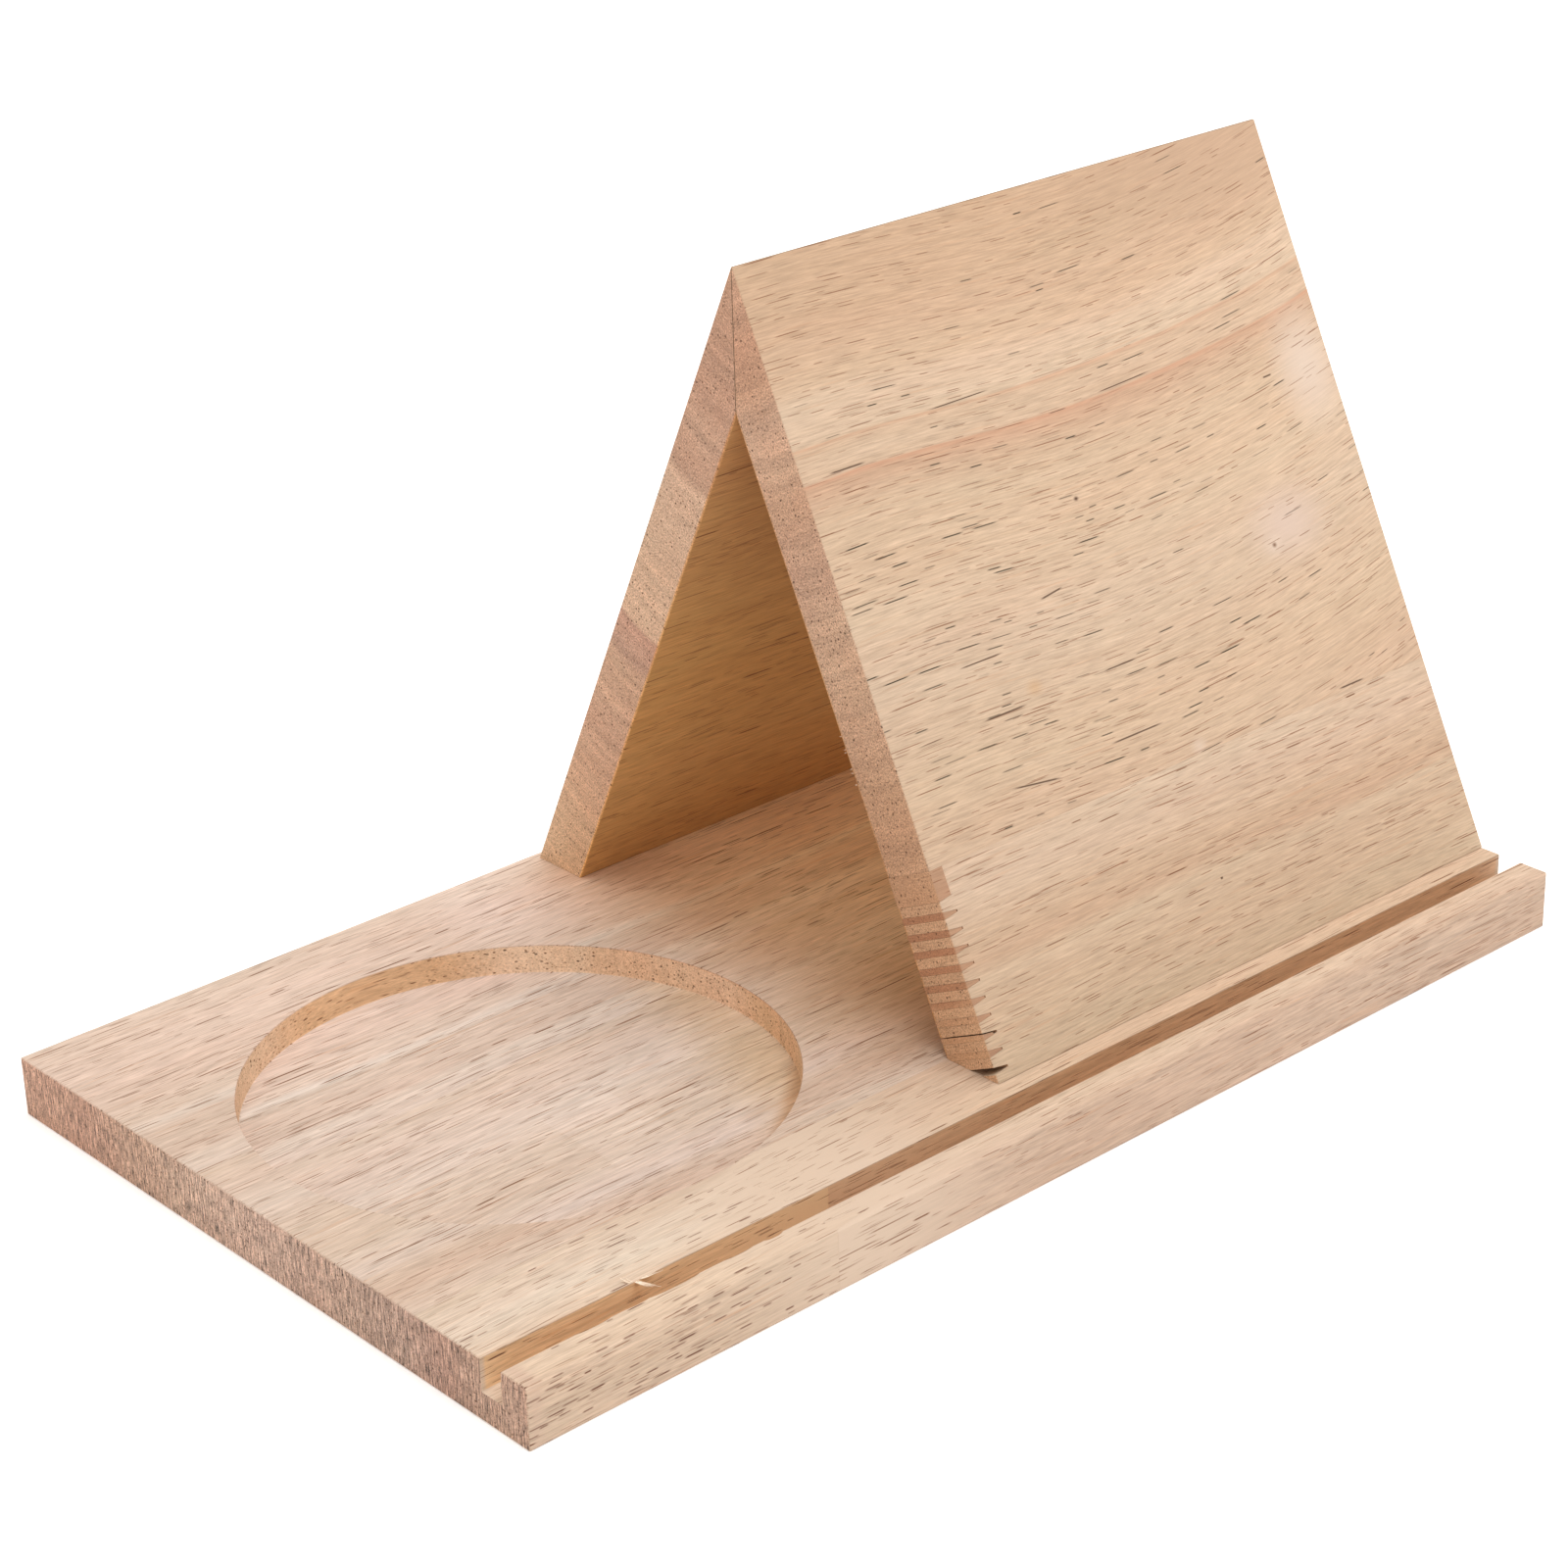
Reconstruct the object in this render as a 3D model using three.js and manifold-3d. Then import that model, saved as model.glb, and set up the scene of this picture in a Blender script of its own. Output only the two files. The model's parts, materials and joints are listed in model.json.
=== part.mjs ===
// A wooden tablet stand: a low base board with a slot for the tablet's edge and a round recess for a
// cup, and on it an A-shaped rest of two leaning panels that meet in a mitre at the ridge.
// The boards are glued up from rubberwood staves, some of them finger-jointed end to end.
// Millimetres, +Z up. The origin is at the centre of the underside, +X points to the end that holds
// the rest, and the slot runs along the front edge, at -Y.

import * as THREE from "three";
import { mergeVertices } from "three/addons/utils/BufferGeometryUtils.js";
import Module from "manifold-3d";

// ---------- Driving dimensions ----------

const BASE_LENGTH = 300;
const BASE_DEPTH = 174;
const BOARD = 14; // thickness of all three boards
const TOTAL_HEIGHT = 174.3; // underside to the corner that the two panels would make at the ridge

const LIP_WIDTH = 7.5; // wood in front of the slot
const SLOT_WIDTH = 6.3;
const SLOT_DEPTH = 7.4;

const RECESS_RADIUS = 59.5;
const RECESS_DEPTH = 7;
const RECESS_FILLET = 0.5;
const RECESS_CENTRE = { x: -78.4, y: 5.4 };

const REST_WIDTH = 160; // the two panels, flush with the base's right end
const FRONT_FOOT_Y = -68.4; // outer edge of the front panel's foot
const BACK_FOOT_Y = 84.7; // outer edge of the back panel's foot
const MITRE_GAP = 0.3;

const STAVE_WIDTH = 46.5;
const FRONT_STAVE_WIDTH = 33.8; // the base's first stave, ripped narrower
const FRONT_PANEL_FOOT_STAVE = 130.7; // from the ridge down the face to the foot stave's glue line
const BACK_PANEL_FOOT_STAVE = 140.5;
const GLUE_LINE = 0.05;

const FINGER_PITCH = 3.8;
const FINGER_LENGTH = 10;
const FINGER_TIP = 0.5; // blunt end of a finger, across the grain
const FINGER_TIP_GAP = 0.3; // room left at the end of each finger
const BASE_FINGER_X = -68; // middle of the finger joint in the base's front stave
const SLIVER_LENGTH = 3.6; // what the end cut leaves of the fingers at the front panel's left end
const SLIVER_SHOULDER = 4.4; // width of the uppermost sliver
const FINGER_COUNT = 13; // pitches that reach from the shoulder past the foot
const LOOSE_SLIVER = 9; // counted from the top: the glue has let go round this one
const LOOSE_SLIVER_GAP = { x: 0.8, z: 0.12 };

const SCREW_RADIUS = 1.75;
const SCREW_LENGTH = 29;
const SCREW_HEAD_RADIUS = 3.5;
const SCREW_HEAD_INSET = 0.4; // head below the underside's surface
const SCREW_INSET_X = 32; // from each end of the rest
const SCREW_FOOT_OFFSET = 11.5; // from the foot's outer edge
const SCREW_CORE_RADIUS = 1.19;
const SCREW_HEAD_CHAMFER = 0.2;
const SCREW_CONE = 1.05; // height of the head's cone for each millimetre of its overhang
const SCREW_POINT = 3;
const THREAD_PITCH = 1.7;
const CROSS_WIDTH = 1; // the cross recess in the head
const CROSS_REACH = 1.9;
const HEAD_PLAY = 0.15;
const SHANK_PLAY = 0.2;
const PILOT_PLAY = 0.06;
const TIP_PLAY = 0.6;

const EDGE_EASE = 0.6; // how far from a corner its rounding starts
const LIP_EASE = 1.1;
const CRISP_EASE = 0.25;
const PANEL_END_EASE = 0.4;

// ---------- Worked out from them ----------

const RIDGE_Y = (FRONT_FOOT_Y + BACK_FOOT_Y) / 2;
const REST_HEIGHT = TOTAL_HEIGHT - BOARD;
const LEAN = Math.atan((BACK_FOOT_Y - FRONT_FOOT_Y) / 2 / REST_HEIGHT); // panel from the vertical
const REST_RIGHT = BASE_LENGTH / 2;
const REST_LEFT = REST_RIGHT - REST_WIDTH;
const FRONT_EDGE = -BASE_DEPTH / 2;
const BACK_EDGE = BASE_DEPTH / 2;
const LEFT_END = -BASE_LENGTH / 2;
const OUTSIDE = 5; // how far a cutting shape reaches past what it cuts

// ---------- Solids ----------

const wasm = await Module();
wasm.setup();

const UP_FROM = {
  x: new THREE.Matrix4().makeBasis(axis(0, 1, 0), axis(0, 0, 1), axis(1, 0, 0)),
  y: new THREE.Matrix4().makeBasis(axis(0, 0, 1), axis(1, 0, 0), axis(0, 1, 0)),
  z: new THREE.Matrix4(),
};

function axis(x, y, z) {
  return new THREE.Vector3(x, y, z);
}

// A closed geometry as a solid that can be joined and cut.
function solidOf(geometry) {
  const bare = geometry.clone();
  bare.deleteAttribute("normal");
  bare.deleteAttribute("uv");
  const merged = mergeVertices(bare, 1e-4);
  return new wasm.Manifold(
    new wasm.Mesh({
      numProp: 3,
      vertProperties: merged.getAttribute("position").array,
      triVerts: new Uint32Array(merged.index.array),
    }),
  );
}

// A solid as a geometry with flat faces.
function geometryOf(solid) {
  const mesh = solid.getMesh();
  const geometry = new THREE.BufferGeometry();
  const positions = new Float32Array(mesh.vertProperties);
  geometry.setAttribute("position", new THREE.BufferAttribute(positions, mesh.numProp));
  geometry.setIndex([...mesh.triVerts]);
  const flat = geometry.toNonIndexed();
  flat.computeVertexNormals();
  return flat;
}

// An outline through corners [a, b, ease]. Each corner is rounded over its ease on both sides.
function easedOutline(corners) {
  const outline = new THREE.Shape();
  corners.forEach(([a, b, ease], i) => {
    const corner = new THREE.Vector2(a, b);
    const before = new THREE.Vector2(...corners.at(i - 1));
    const after = new THREE.Vector2(...corners[(i + 1) % corners.length]);
    const start = before.sub(corner).setLength(ease).add(corner);
    const end = after.sub(corner).setLength(ease).add(corner);
    if (i === 0) outline.moveTo(start.x, start.y);
    else outline.lineTo(start.x, start.y);
    outline.quadraticCurveTo(corner.x, corner.y, end.x, end.y);
  });
  outline.closePath();
  return outline;
}

// An outline drawn out along an axis. Its own plane is (y, z) for x, (z, x) for y and (x, y) for z.
function prism(outline, along, from, to) {
  const geometry = new THREE.ExtrudeGeometry(outline, {
    depth: to - from,
    bevelEnabled: false,
    curveSegments: 3,
  });
  return solidOf(geometry.translate(0, 0, from).applyMatrix4(UP_FROM[along]));
}

function easedRectangle([a0, a1], [b0, b1], ease) {
  return easedOutline([
    [a0, b0, ease],
    [a1, b0, ease],
    [a1, b1, ease],
    [a0, b1, ease],
  ]);
}

function block([x0, x1], [y0, y1], [z0, z1]) {
  const box = new THREE.BoxGeometry(x1 - x0, y1 - y0, z1 - z0);
  return solidOf(box.translate((x0 + x1) / 2, (y0 + y1) / 2, (z0 + z1) / 2));
}

// A shape turned on the Z axis from a profile of [radius, height] points.
function turned(profile, segments) {
  const points = profile.map(([radius, height]) => new THREE.Vector2(radius, height));
  return solidOf(new THREE.LatheGeometry(points, segments).rotateX(Math.PI / 2));
}

// ---------- Finger joint ----------

// The stepped line of a finger joint, as points [along the grain, across the grain]: blunt fingers
// that taper from their root to their tip, one to a pitch, on both sides of the middle.
function fingerLine(middle, from, to) {
  const root = middle - FINGER_LENGTH / 2;
  const tip = middle + FINGER_LENGTH / 2;
  const points = [];
  for (let start = from; start < to; start += FINGER_PITCH) {
    points.push([root, start], [root, start + FINGER_TIP]);
    points.push([tip, start + FINGER_PITCH / 2], [tip, start + FINGER_PITCH / 2 + FINGER_TIP]);
  }
  return points;
}

function outlineThrough(points) {
  return new THREE.Shape(points.map(([a, b]) => new THREE.Vector2(a, b)));
}

// ---------- Screws ----------

// A countersunk wood screw that points up, its head flush in the underside's recess.
function screwSolid() {
  const coneTop = SCREW_HEAD_INSET + (SCREW_HEAD_RADIUS - SCREW_RADIUS) * SCREW_CONE;
  const tip = SCREW_HEAD_INSET + SCREW_LENGTH;
  const threadStart = BOARD - 1;
  const runOut = 0.5; // from the plain shank down to the thread's core
  const profile = [
    [0, SCREW_HEAD_INSET],
    [SCREW_HEAD_RADIUS - SCREW_HEAD_CHAMFER, SCREW_HEAD_INSET],
    [SCREW_HEAD_RADIUS, SCREW_HEAD_INSET + SCREW_HEAD_CHAMFER],
    [SCREW_RADIUS, coneTop],
    [SCREW_RADIUS, threadStart - runOut],
    [SCREW_CORE_RADIUS, threadStart],
  ];
  for (let root = threadStart + runOut; root < tip - SCREW_POINT; root += THREAD_PITCH) {
    profile.push(
      [SCREW_CORE_RADIUS, root],
      [SCREW_RADIUS, root + THREAD_PITCH / 3],
      [SCREW_CORE_RADIUS, root + (THREAD_PITCH * 2) / 3],
    );
  }
  profile.push([0, tip]);
  const wide = [-CROSS_REACH, CROSS_REACH];
  const narrow = [-CROSS_WIDTH / 2, CROSS_WIDTH / 2];
  const depth = [-OUTSIDE, coneTop];
  const cross = block(wide, narrow, depth).add(block(narrow, wide, depth));
  return turned(profile, 14).subtract(cross);
}

// The room that a screw takes: a countersunk clearance hole in the base and a pilot hole above it.
function screwHole() {
  const head = SCREW_HEAD_RADIUS + HEAD_PLAY;
  const shank = SCREW_RADIUS + SHANK_PLAY;
  const pilot = SCREW_RADIUS + PILOT_PLAY;
  const coneBottom = SCREW_HEAD_INSET + HEAD_PLAY;
  const tip = SCREW_HEAD_INSET + SCREW_LENGTH;
  const profile = [
    [0, -OUTSIDE],
    [head, -OUTSIDE],
    [head, coneBottom],
    [shank, coneBottom + (head - shank) * SCREW_CONE],
    [shank, BOARD],
    [pilot, BOARD],
    [pilot, tip - SCREW_POINT + TIP_PLAY],
    [0, tip + TIP_PLAY],
  ];
  return turned(profile, 20);
}

const SCREW_PLACES = [
  { name: "front_left_screw", x: REST_LEFT + SCREW_INSET_X, y: FRONT_FOOT_Y + SCREW_FOOT_OFFSET },
  { name: "front_right_screw", x: REST_RIGHT - SCREW_INSET_X, y: FRONT_FOOT_Y + SCREW_FOOT_OFFSET },
  { name: "back_left_screw", x: REST_LEFT + SCREW_INSET_X, y: BACK_FOOT_Y - SCREW_FOOT_OFFSET },
  { name: "back_right_screw", x: REST_RIGHT - SCREW_INSET_X, y: BACK_FOOT_Y - SCREW_FOOT_OFFSET },
];

// ---------- Base board ----------

// The base's section across the stand, with the slot in it, eased at every long edge.
function baseSection() {
  const slotFront = FRONT_EDGE + LIP_WIDTH;
  const slotBack = slotFront + SLOT_WIDTH;
  const slotFloor = BOARD - SLOT_DEPTH;
  return easedOutline([
    [FRONT_EDGE, 0, EDGE_EASE],
    [BACK_EDGE, 0, EDGE_EASE],
    [BACK_EDGE, BOARD, EDGE_EASE],
    [slotBack, BOARD, CRISP_EASE],
    [slotBack, slotFloor, CRISP_EASE],
    [slotFront, slotFloor, CRISP_EASE],
    [slotFront, BOARD, CRISP_EASE],
    [FRONT_EDGE, BOARD, LIP_EASE],
  ]);
}

// The room of the recess: a flat floor, a small fillet round it and an eased rim.
function recess() {
  const floor = BOARD - RECESS_DEPTH;
  const soft = 0.3; // how far a quarter round's middle lies from its two tangents, of its radius
  const profile = [
    [0, floor],
    [RECESS_RADIUS - RECESS_FILLET, floor],
    [RECESS_RADIUS - RECESS_FILLET * soft, floor + RECESS_FILLET * soft],
    [RECESS_RADIUS, floor + RECESS_FILLET],
    [RECESS_RADIUS, BOARD - CRISP_EASE],
    [RECESS_RADIUS + CRISP_EASE * soft, BOARD - CRISP_EASE * soft],
    [RECESS_RADIUS + CRISP_EASE, BOARD],
    [RECESS_RADIUS + CRISP_EASE, BOARD + OUTSIDE],
    [0, BOARD + OUTSIDE],
  ];
  return turned(profile, 128).translate([RECESS_CENTRE.x, RECESS_CENTRE.y, 0]);
}

// Shallow nicks, [place along the edge, length, depth], where the saw tore the slot's front edge.
const SLOT_NICKS = [
  [-128, 9, 0.5],
  [-117.5, 6, 0.35],
  [-108, 13, 0.6],
  [-92, 8, 0.4],
  [-83, 5, 0.7],
];

function slotNicks() {
  const edge = FRONT_EDGE + LIP_WIDTH;
  const scoops = SLOT_NICKS.map(([x, length, depth]) => {
    const scoop = new THREE.SphereGeometry(1, 12, 8).scale(length / 2, depth, depth);
    return solidOf(scoop.translate(x, edge, BOARD));
  });
  return scoops.reduce((all, scoop) => all.add(scoop));
}

function baseBoard() {
  const ends = [LEFT_END, REST_RIGHT];
  const edges = [FRONT_EDGE, BACK_EDGE];
  let board = prism(baseSection(), "x", ...ends);
  board = board.intersect(prism(easedRectangle([0, BOARD], ends, EDGE_EASE), "y", ...edges));
  board = board.intersect(prism(easedRectangle(ends, edges, EDGE_EASE), "z", 0, BOARD));
  board = board.subtract(recess()).subtract(slotNicks());
  for (const { x, y } of SCREW_PLACES) board = board.subtract(screwHole().translate([x, y, 0]));
  return board;
}

// One stave of the base, between two glue lines that run along it.
function baseStave(board, from, to) {
  const across = [from + GLUE_LINE / 2, to - GLUE_LINE / 2];
  return board.intersect(
    block([LEFT_END - OUTSIDE, REST_RIGHT + OUTSIDE], across, [-OUTSIDE, BOARD + OUTSIDE]),
  );
}

function basePieces() {
  const board = baseBoard();
  const firstLine = FRONT_EDGE + FRONT_STAVE_WIDTH;
  const secondLine = firstLine + STAVE_WIDTH;
  const thirdLine = secondLine + STAVE_WIDTH;
  const frontStave = baseStave(board, FRONT_EDGE - OUTSIDE, firstLine);
  const line = fingerLine(BASE_FINGER_X, FRONT_EDGE - FINGER_PITCH, firstLine + FINGER_PITCH);
  const [, nearest] = line[0];
  const [, furthest] = line.at(-1);
  const left = outlineThrough([
    ...line,
    [LEFT_END - OUTSIDE, furthest],
    [LEFT_END - OUTSIDE, nearest],
  ]);
  const shifted = line.map(([x, y]) => [x + FINGER_TIP_GAP, y]);
  const right = outlineThrough([
    ...shifted,
    [REST_RIGHT + OUTSIDE, furthest],
    [REST_RIGHT + OUTSIDE, nearest],
  ]);
  return {
    base_front_stave_short: frontStave.intersect(prism(left, "z", -OUTSIDE, BOARD + OUTSIDE)),
    base_front_stave_long: frontStave.intersect(prism(right, "z", -OUTSIDE, BOARD + OUTSIDE)),
    base_second_stave: baseStave(board, firstLine, secondLine),
    base_third_stave: baseStave(board, secondLine, thirdLine),
    base_back_stave: baseStave(board, thirdLine, BACK_EDGE + OUTSIDE),
  };
}

// ---------- Leaning panels ----------

// A panel is worked out upright: its ridge edge is at the origin, it hangs down -Z, its outer face is
// at y = 0 and its thickness goes to the inside, which is +y for the front panel (side -1) and -y for
// the back one (side 1). Its group then leans it about the ridge.
function panelGroup(side) {
  const group = new THREE.Group();
  group.position.set(0, RIDGE_Y, TOTAL_HEIGHT);
  group.rotation.x = side * LEAN;
  group.updateMatrixWorld();
  return group;
}

// The panel's section: mitred at the ridge and cut level at the foot.
function panelSection(side) {
  const inward = -side * BOARD;
  const outerTop = -MITRE_GAP / 2 / Math.sin(LEAN);
  const innerTop = outerTop - BOARD / Math.tan(LEAN);
  const outerFoot = -(REST_HEIGHT - GLUE_LINE) / Math.cos(LEAN);
  const innerFoot = outerFoot + BOARD * Math.tan(LEAN);
  return easedOutline([
    [0, outerTop, CRISP_EASE],
    [0, outerFoot, CRISP_EASE],
    [inward, innerFoot, CRISP_EASE],
    [inward, innerTop, CRISP_EASE],
  ]);
}

function panelBoard(side, group) {
  const ends = [REST_LEFT, REST_RIGHT];
  const thickness = side < 0 ? [0, BOARD] : [-BOARD, 0];
  const longest = REST_HEIGHT / Math.cos(LEAN) + OUTSIDE;
  const endOutline = easedRectangle(ends, thickness, PANEL_END_EASE);
  let board = prism(panelSection(side), "x", ...ends);
  board = board.intersect(prism(endOutline, "z", -longest, OUTSIDE));
  const toPanel = group.matrixWorld.clone().invert().toArray();
  for (const { x, y } of SCREW_PLACES) {
    if (Math.sign(y) !== side) continue;
    board = board.subtract(screwHole().translate([x, y, 0]).transform(toPanel));
  }
  return board;
}

// One stave of a panel, between two distances from the ridge.
function panelStave(board, from, to) {
  const height = [-to + GLUE_LINE / 2, -from - GLUE_LINE / 2];
  const thickness = [-BOARD - OUTSIDE, BOARD + OUTSIDE];
  return board.intersect(block([REST_LEFT - OUTSIDE, REST_RIGHT + OUTSIDE], thickness, height));
}

// The foot stave of the front panel. Its left end was cut off through a finger joint, so slivers of
// the next length's fingers are left in it. The lowest has broken out of the toe.
function fingerJointedFoot(stave) {
  const thickness = [-OUTSIDE, BOARD + OUTSIDE];
  const top = -FRONT_PANEL_FOOT_STAVE;
  const middle = REST_LEFT + SLIVER_LENGTH - FINGER_LENGTH / 2;
  const lowest = top - SLIVER_SHOULDER - FINGER_COUNT * FINGER_PITCH;
  const line = fingerLine(middle, lowest, top - SLIVER_SHOULDER);
  const tipEnd = REST_LEFT + SLIVER_LENGTH;
  line.push([tipEnd, top - SLIVER_SHOULDER + FINGER_TIP], [tipEnd, top + OUTSIDE]);
  const asZX = (points) => outlineThrough(points.map(([x, z]) => [z, x]));
  const farLeft = REST_LEFT - FINGER_LENGTH - OUTSIDE;
  const farRight = REST_RIGHT + OUTSIDE;
  const leftOf = asZX([...line, [farLeft, top + OUTSIDE], [farLeft, lowest]]);
  const shifted = line.map(([x, z]) => [x + FINGER_TIP_GAP, z]);
  const rightOf = asZX([...shifted, [farRight, top + OUTSIDE], [farRight, lowest]]);
  const slivers = stave.intersect(prism(leftOf, "y", ...thickness)).decompose();
  slivers.sort((a, b) => b.boundingBox().max[2] - a.boundingBox().max[2]);
  slivers.pop();
  const loose = slivers[LOOSE_SLIVER - 1];
  const shrunk = loose.translate([-LOOSE_SLIVER_GAP.x, 0, -LOOSE_SLIVER_GAP.z]);
  slivers[LOOSE_SLIVER - 1] = loose.intersect(shrunk);
  return { foot: stave.intersect(prism(rightOf, "y", ...thickness)), slivers };
}

function frontPanelPieces(group) {
  const board = panelBoard(-1, group);
  const line = (count) => FRONT_PANEL_FOOT_STAVE - count * STAVE_WIDTH;
  const footStave = panelStave(board, line(0), REST_HEIGHT * 2);
  const { foot, slivers } = fingerJointedFoot(footStave);
  const pieces = {
    front_panel_ridge_stave: panelStave(board, -OUTSIDE, line(2)),
    front_panel_upper_stave: panelStave(board, line(2), line(1)),
    front_panel_lower_stave: panelStave(board, line(1), line(0)),
    front_panel_foot_stave: foot,
  };
  slivers.forEach((sliver, i) => {
    pieces[`finger_sliver_${String(i + 1).padStart(2, "0")}`] = sliver;
  });
  return pieces;
}

function backPanelPieces(group) {
  const board = panelBoard(1, group);
  const line = (count) => BACK_PANEL_FOOT_STAVE - count * STAVE_WIDTH;
  return {
    back_panel_ridge_stave: panelStave(board, -OUTSIDE, line(2)),
    back_panel_upper_stave: panelStave(board, line(2), line(1)),
    back_panel_lower_stave: panelStave(board, line(1), line(0)),
    back_panel_foot_stave: panelStave(board, line(0), REST_HEIGHT * 2),
  };
}

// ---------- Colours ----------

const WOOD_ROUGHNESS = 0.62;
const PALE_WOOD = 0xe3c7a8;
const WARM_WOOD = 0xdcb48d;
const PINK_WOOD = 0xd9b196;
const DARK_FINGER = 0xb98260;

const WOOD_COLOURS = {
  base_front_stave_short: PALE_WOOD,
  base_front_stave_long: WARM_WOOD,
  base_second_stave: PINK_WOOD,
  base_third_stave: PALE_WOOD,
  base_back_stave: PINK_WOOD,
  front_panel_ridge_stave: WARM_WOOD,
  front_panel_upper_stave: PALE_WOOD,
  front_panel_lower_stave: WARM_WOOD,
  front_panel_foot_stave: PINK_WOOD,
  back_panel_ridge_stave: PINK_WOOD,
  back_panel_upper_stave: WARM_WOOD,
  back_panel_lower_stave: PALE_WOOD,
  back_panel_foot_stave: WARM_WOOD,
};

function woodMaterial(name) {
  const color = WOOD_COLOURS[name] ?? DARK_FINGER;
  return new THREE.MeshStandardMaterial({ color, roughness: WOOD_ROUGHNESS, metalness: 0 });
}

function addPieces(group, pieces) {
  for (const [name, solid] of Object.entries(pieces)) {
    const mesh = new THREE.Mesh(geometryOf(solid), woodMaterial(name));
    mesh.name = name;
    group.add(mesh);
  }
}

// ---------- The stand ----------

const stand = new THREE.Group();
addPieces(stand, basePieces());

const frontPanel = panelGroup(-1);
addPieces(frontPanel, frontPanelPieces(frontPanel));
stand.add(frontPanel);

const backPanel = panelGroup(1);
addPieces(backPanel, backPanelPieces(backPanel));
stand.add(backPanel);

const screwGeometry = geometryOf(screwSolid());
for (const { name, x, y } of SCREW_PLACES) {
  const steel = new THREE.MeshStandardMaterial({ color: 0xb9a26a, roughness: 0.35, metalness: 1 });
  const screw = new THREE.Mesh(screwGeometry, steel);
  screw.name = name;
  screw.position.set(x, y, 0);
  stand.add(screw);
}

export default stand;
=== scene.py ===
import json
import math

import bpy
import numpy as np
from mathutils import Matrix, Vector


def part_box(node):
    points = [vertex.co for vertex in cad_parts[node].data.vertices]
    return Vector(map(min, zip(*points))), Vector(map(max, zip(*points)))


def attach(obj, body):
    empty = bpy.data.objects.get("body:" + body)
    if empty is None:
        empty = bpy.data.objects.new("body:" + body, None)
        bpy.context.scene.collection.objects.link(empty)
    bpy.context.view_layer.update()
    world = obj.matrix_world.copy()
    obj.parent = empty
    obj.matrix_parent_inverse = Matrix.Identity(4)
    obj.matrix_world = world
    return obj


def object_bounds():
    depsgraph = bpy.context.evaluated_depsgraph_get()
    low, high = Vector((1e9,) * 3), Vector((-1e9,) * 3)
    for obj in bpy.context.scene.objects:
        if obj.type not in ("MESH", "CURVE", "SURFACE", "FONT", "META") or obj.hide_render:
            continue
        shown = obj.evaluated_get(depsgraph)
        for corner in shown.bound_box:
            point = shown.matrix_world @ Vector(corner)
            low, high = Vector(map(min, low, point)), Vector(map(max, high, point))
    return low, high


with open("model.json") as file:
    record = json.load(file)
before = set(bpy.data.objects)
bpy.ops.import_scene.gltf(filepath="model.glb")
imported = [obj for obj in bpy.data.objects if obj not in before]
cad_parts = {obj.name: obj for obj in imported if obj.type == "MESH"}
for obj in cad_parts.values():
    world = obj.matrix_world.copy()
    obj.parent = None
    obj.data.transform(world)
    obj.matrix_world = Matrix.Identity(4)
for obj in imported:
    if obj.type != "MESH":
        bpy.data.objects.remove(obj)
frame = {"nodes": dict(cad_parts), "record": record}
cad_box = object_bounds()

# ---------- The stand's own sizes, from the frame, in metres ----------

MM = 0.001
CAD = frame["nodes"]
LEFT_END, FRONT_EDGE, UNDERSIDE = cad_box[0]
RIGHT_END, BACK_EDGE, _ = cad_box[1]
BOARD_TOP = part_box("base_back_stave")[1][2]

MOUNTS = {mount["name"]: mount for mount in frame["record"]["mounts"]}
REST_FACE = MOUNTS["tablet_rest_face"]
LEAN = math.atan2(REST_FACE["axis"][2], -REST_FACE["axis"][1])
REST_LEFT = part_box("front_panel_lower_stave")[0][0]
REST_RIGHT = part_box("front_panel_lower_stave")[1][0]
FRONT_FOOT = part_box("front_panel_foot_stave")[0][1]
BACK_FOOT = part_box("back_panel_foot_stave")[1][1]
RIDGE_Y = (FRONT_FOOT + BACK_FOOT) / 2
RIDGE_Z = REST_FACE["pos_m"][2] + (RIDGE_Y - REST_FACE["pos_m"][1]) / math.tan(LEAN)

OPENINGS = {opening["name"]: opening["box_m"] for opening in frame["record"]["physics"]["openings"]}
RECESS_X = sum(corner[0] for corner in OPENINGS["cup_recess_middle"]) / 2
RECESS_Y = sum(corner[1] for corner in OPENINGS["cup_recess_middle"]) / 2
RECESS_RADIUS = 59.5 * MM
RECESS_FLOOR = MOUNTS["recess_floor"]["pos_m"][2]
OPENING_ROOM = 0.1 * MM  # between an opening's box and the walls around it
SLOT_FRONT = OPENINGS["tablet_slot"][0][1] - OPENING_ROOM
SLOT_BACK = OPENINGS["tablet_slot"][1][1] + OPENING_ROOM
SLOT_FLOOR = OPENINGS["tablet_slot"][0][2] - OPENING_ROOM

# The same in millimetres, which the grain and the glue are drawn in.
BOARD = BOARD_TOP / MM
BASE_LENGTH = (RIGHT_END - LEFT_END) / MM
BASE_DEPTH = (BACK_EDGE - FRONT_EDGE) / MM
REST_WIDTH = (REST_RIGHT - REST_LEFT) / MM
RECESS_DEPTH = (BOARD_TOP - RECESS_FLOOR) / MM


# ---------- Shader arithmetic ----------

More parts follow.
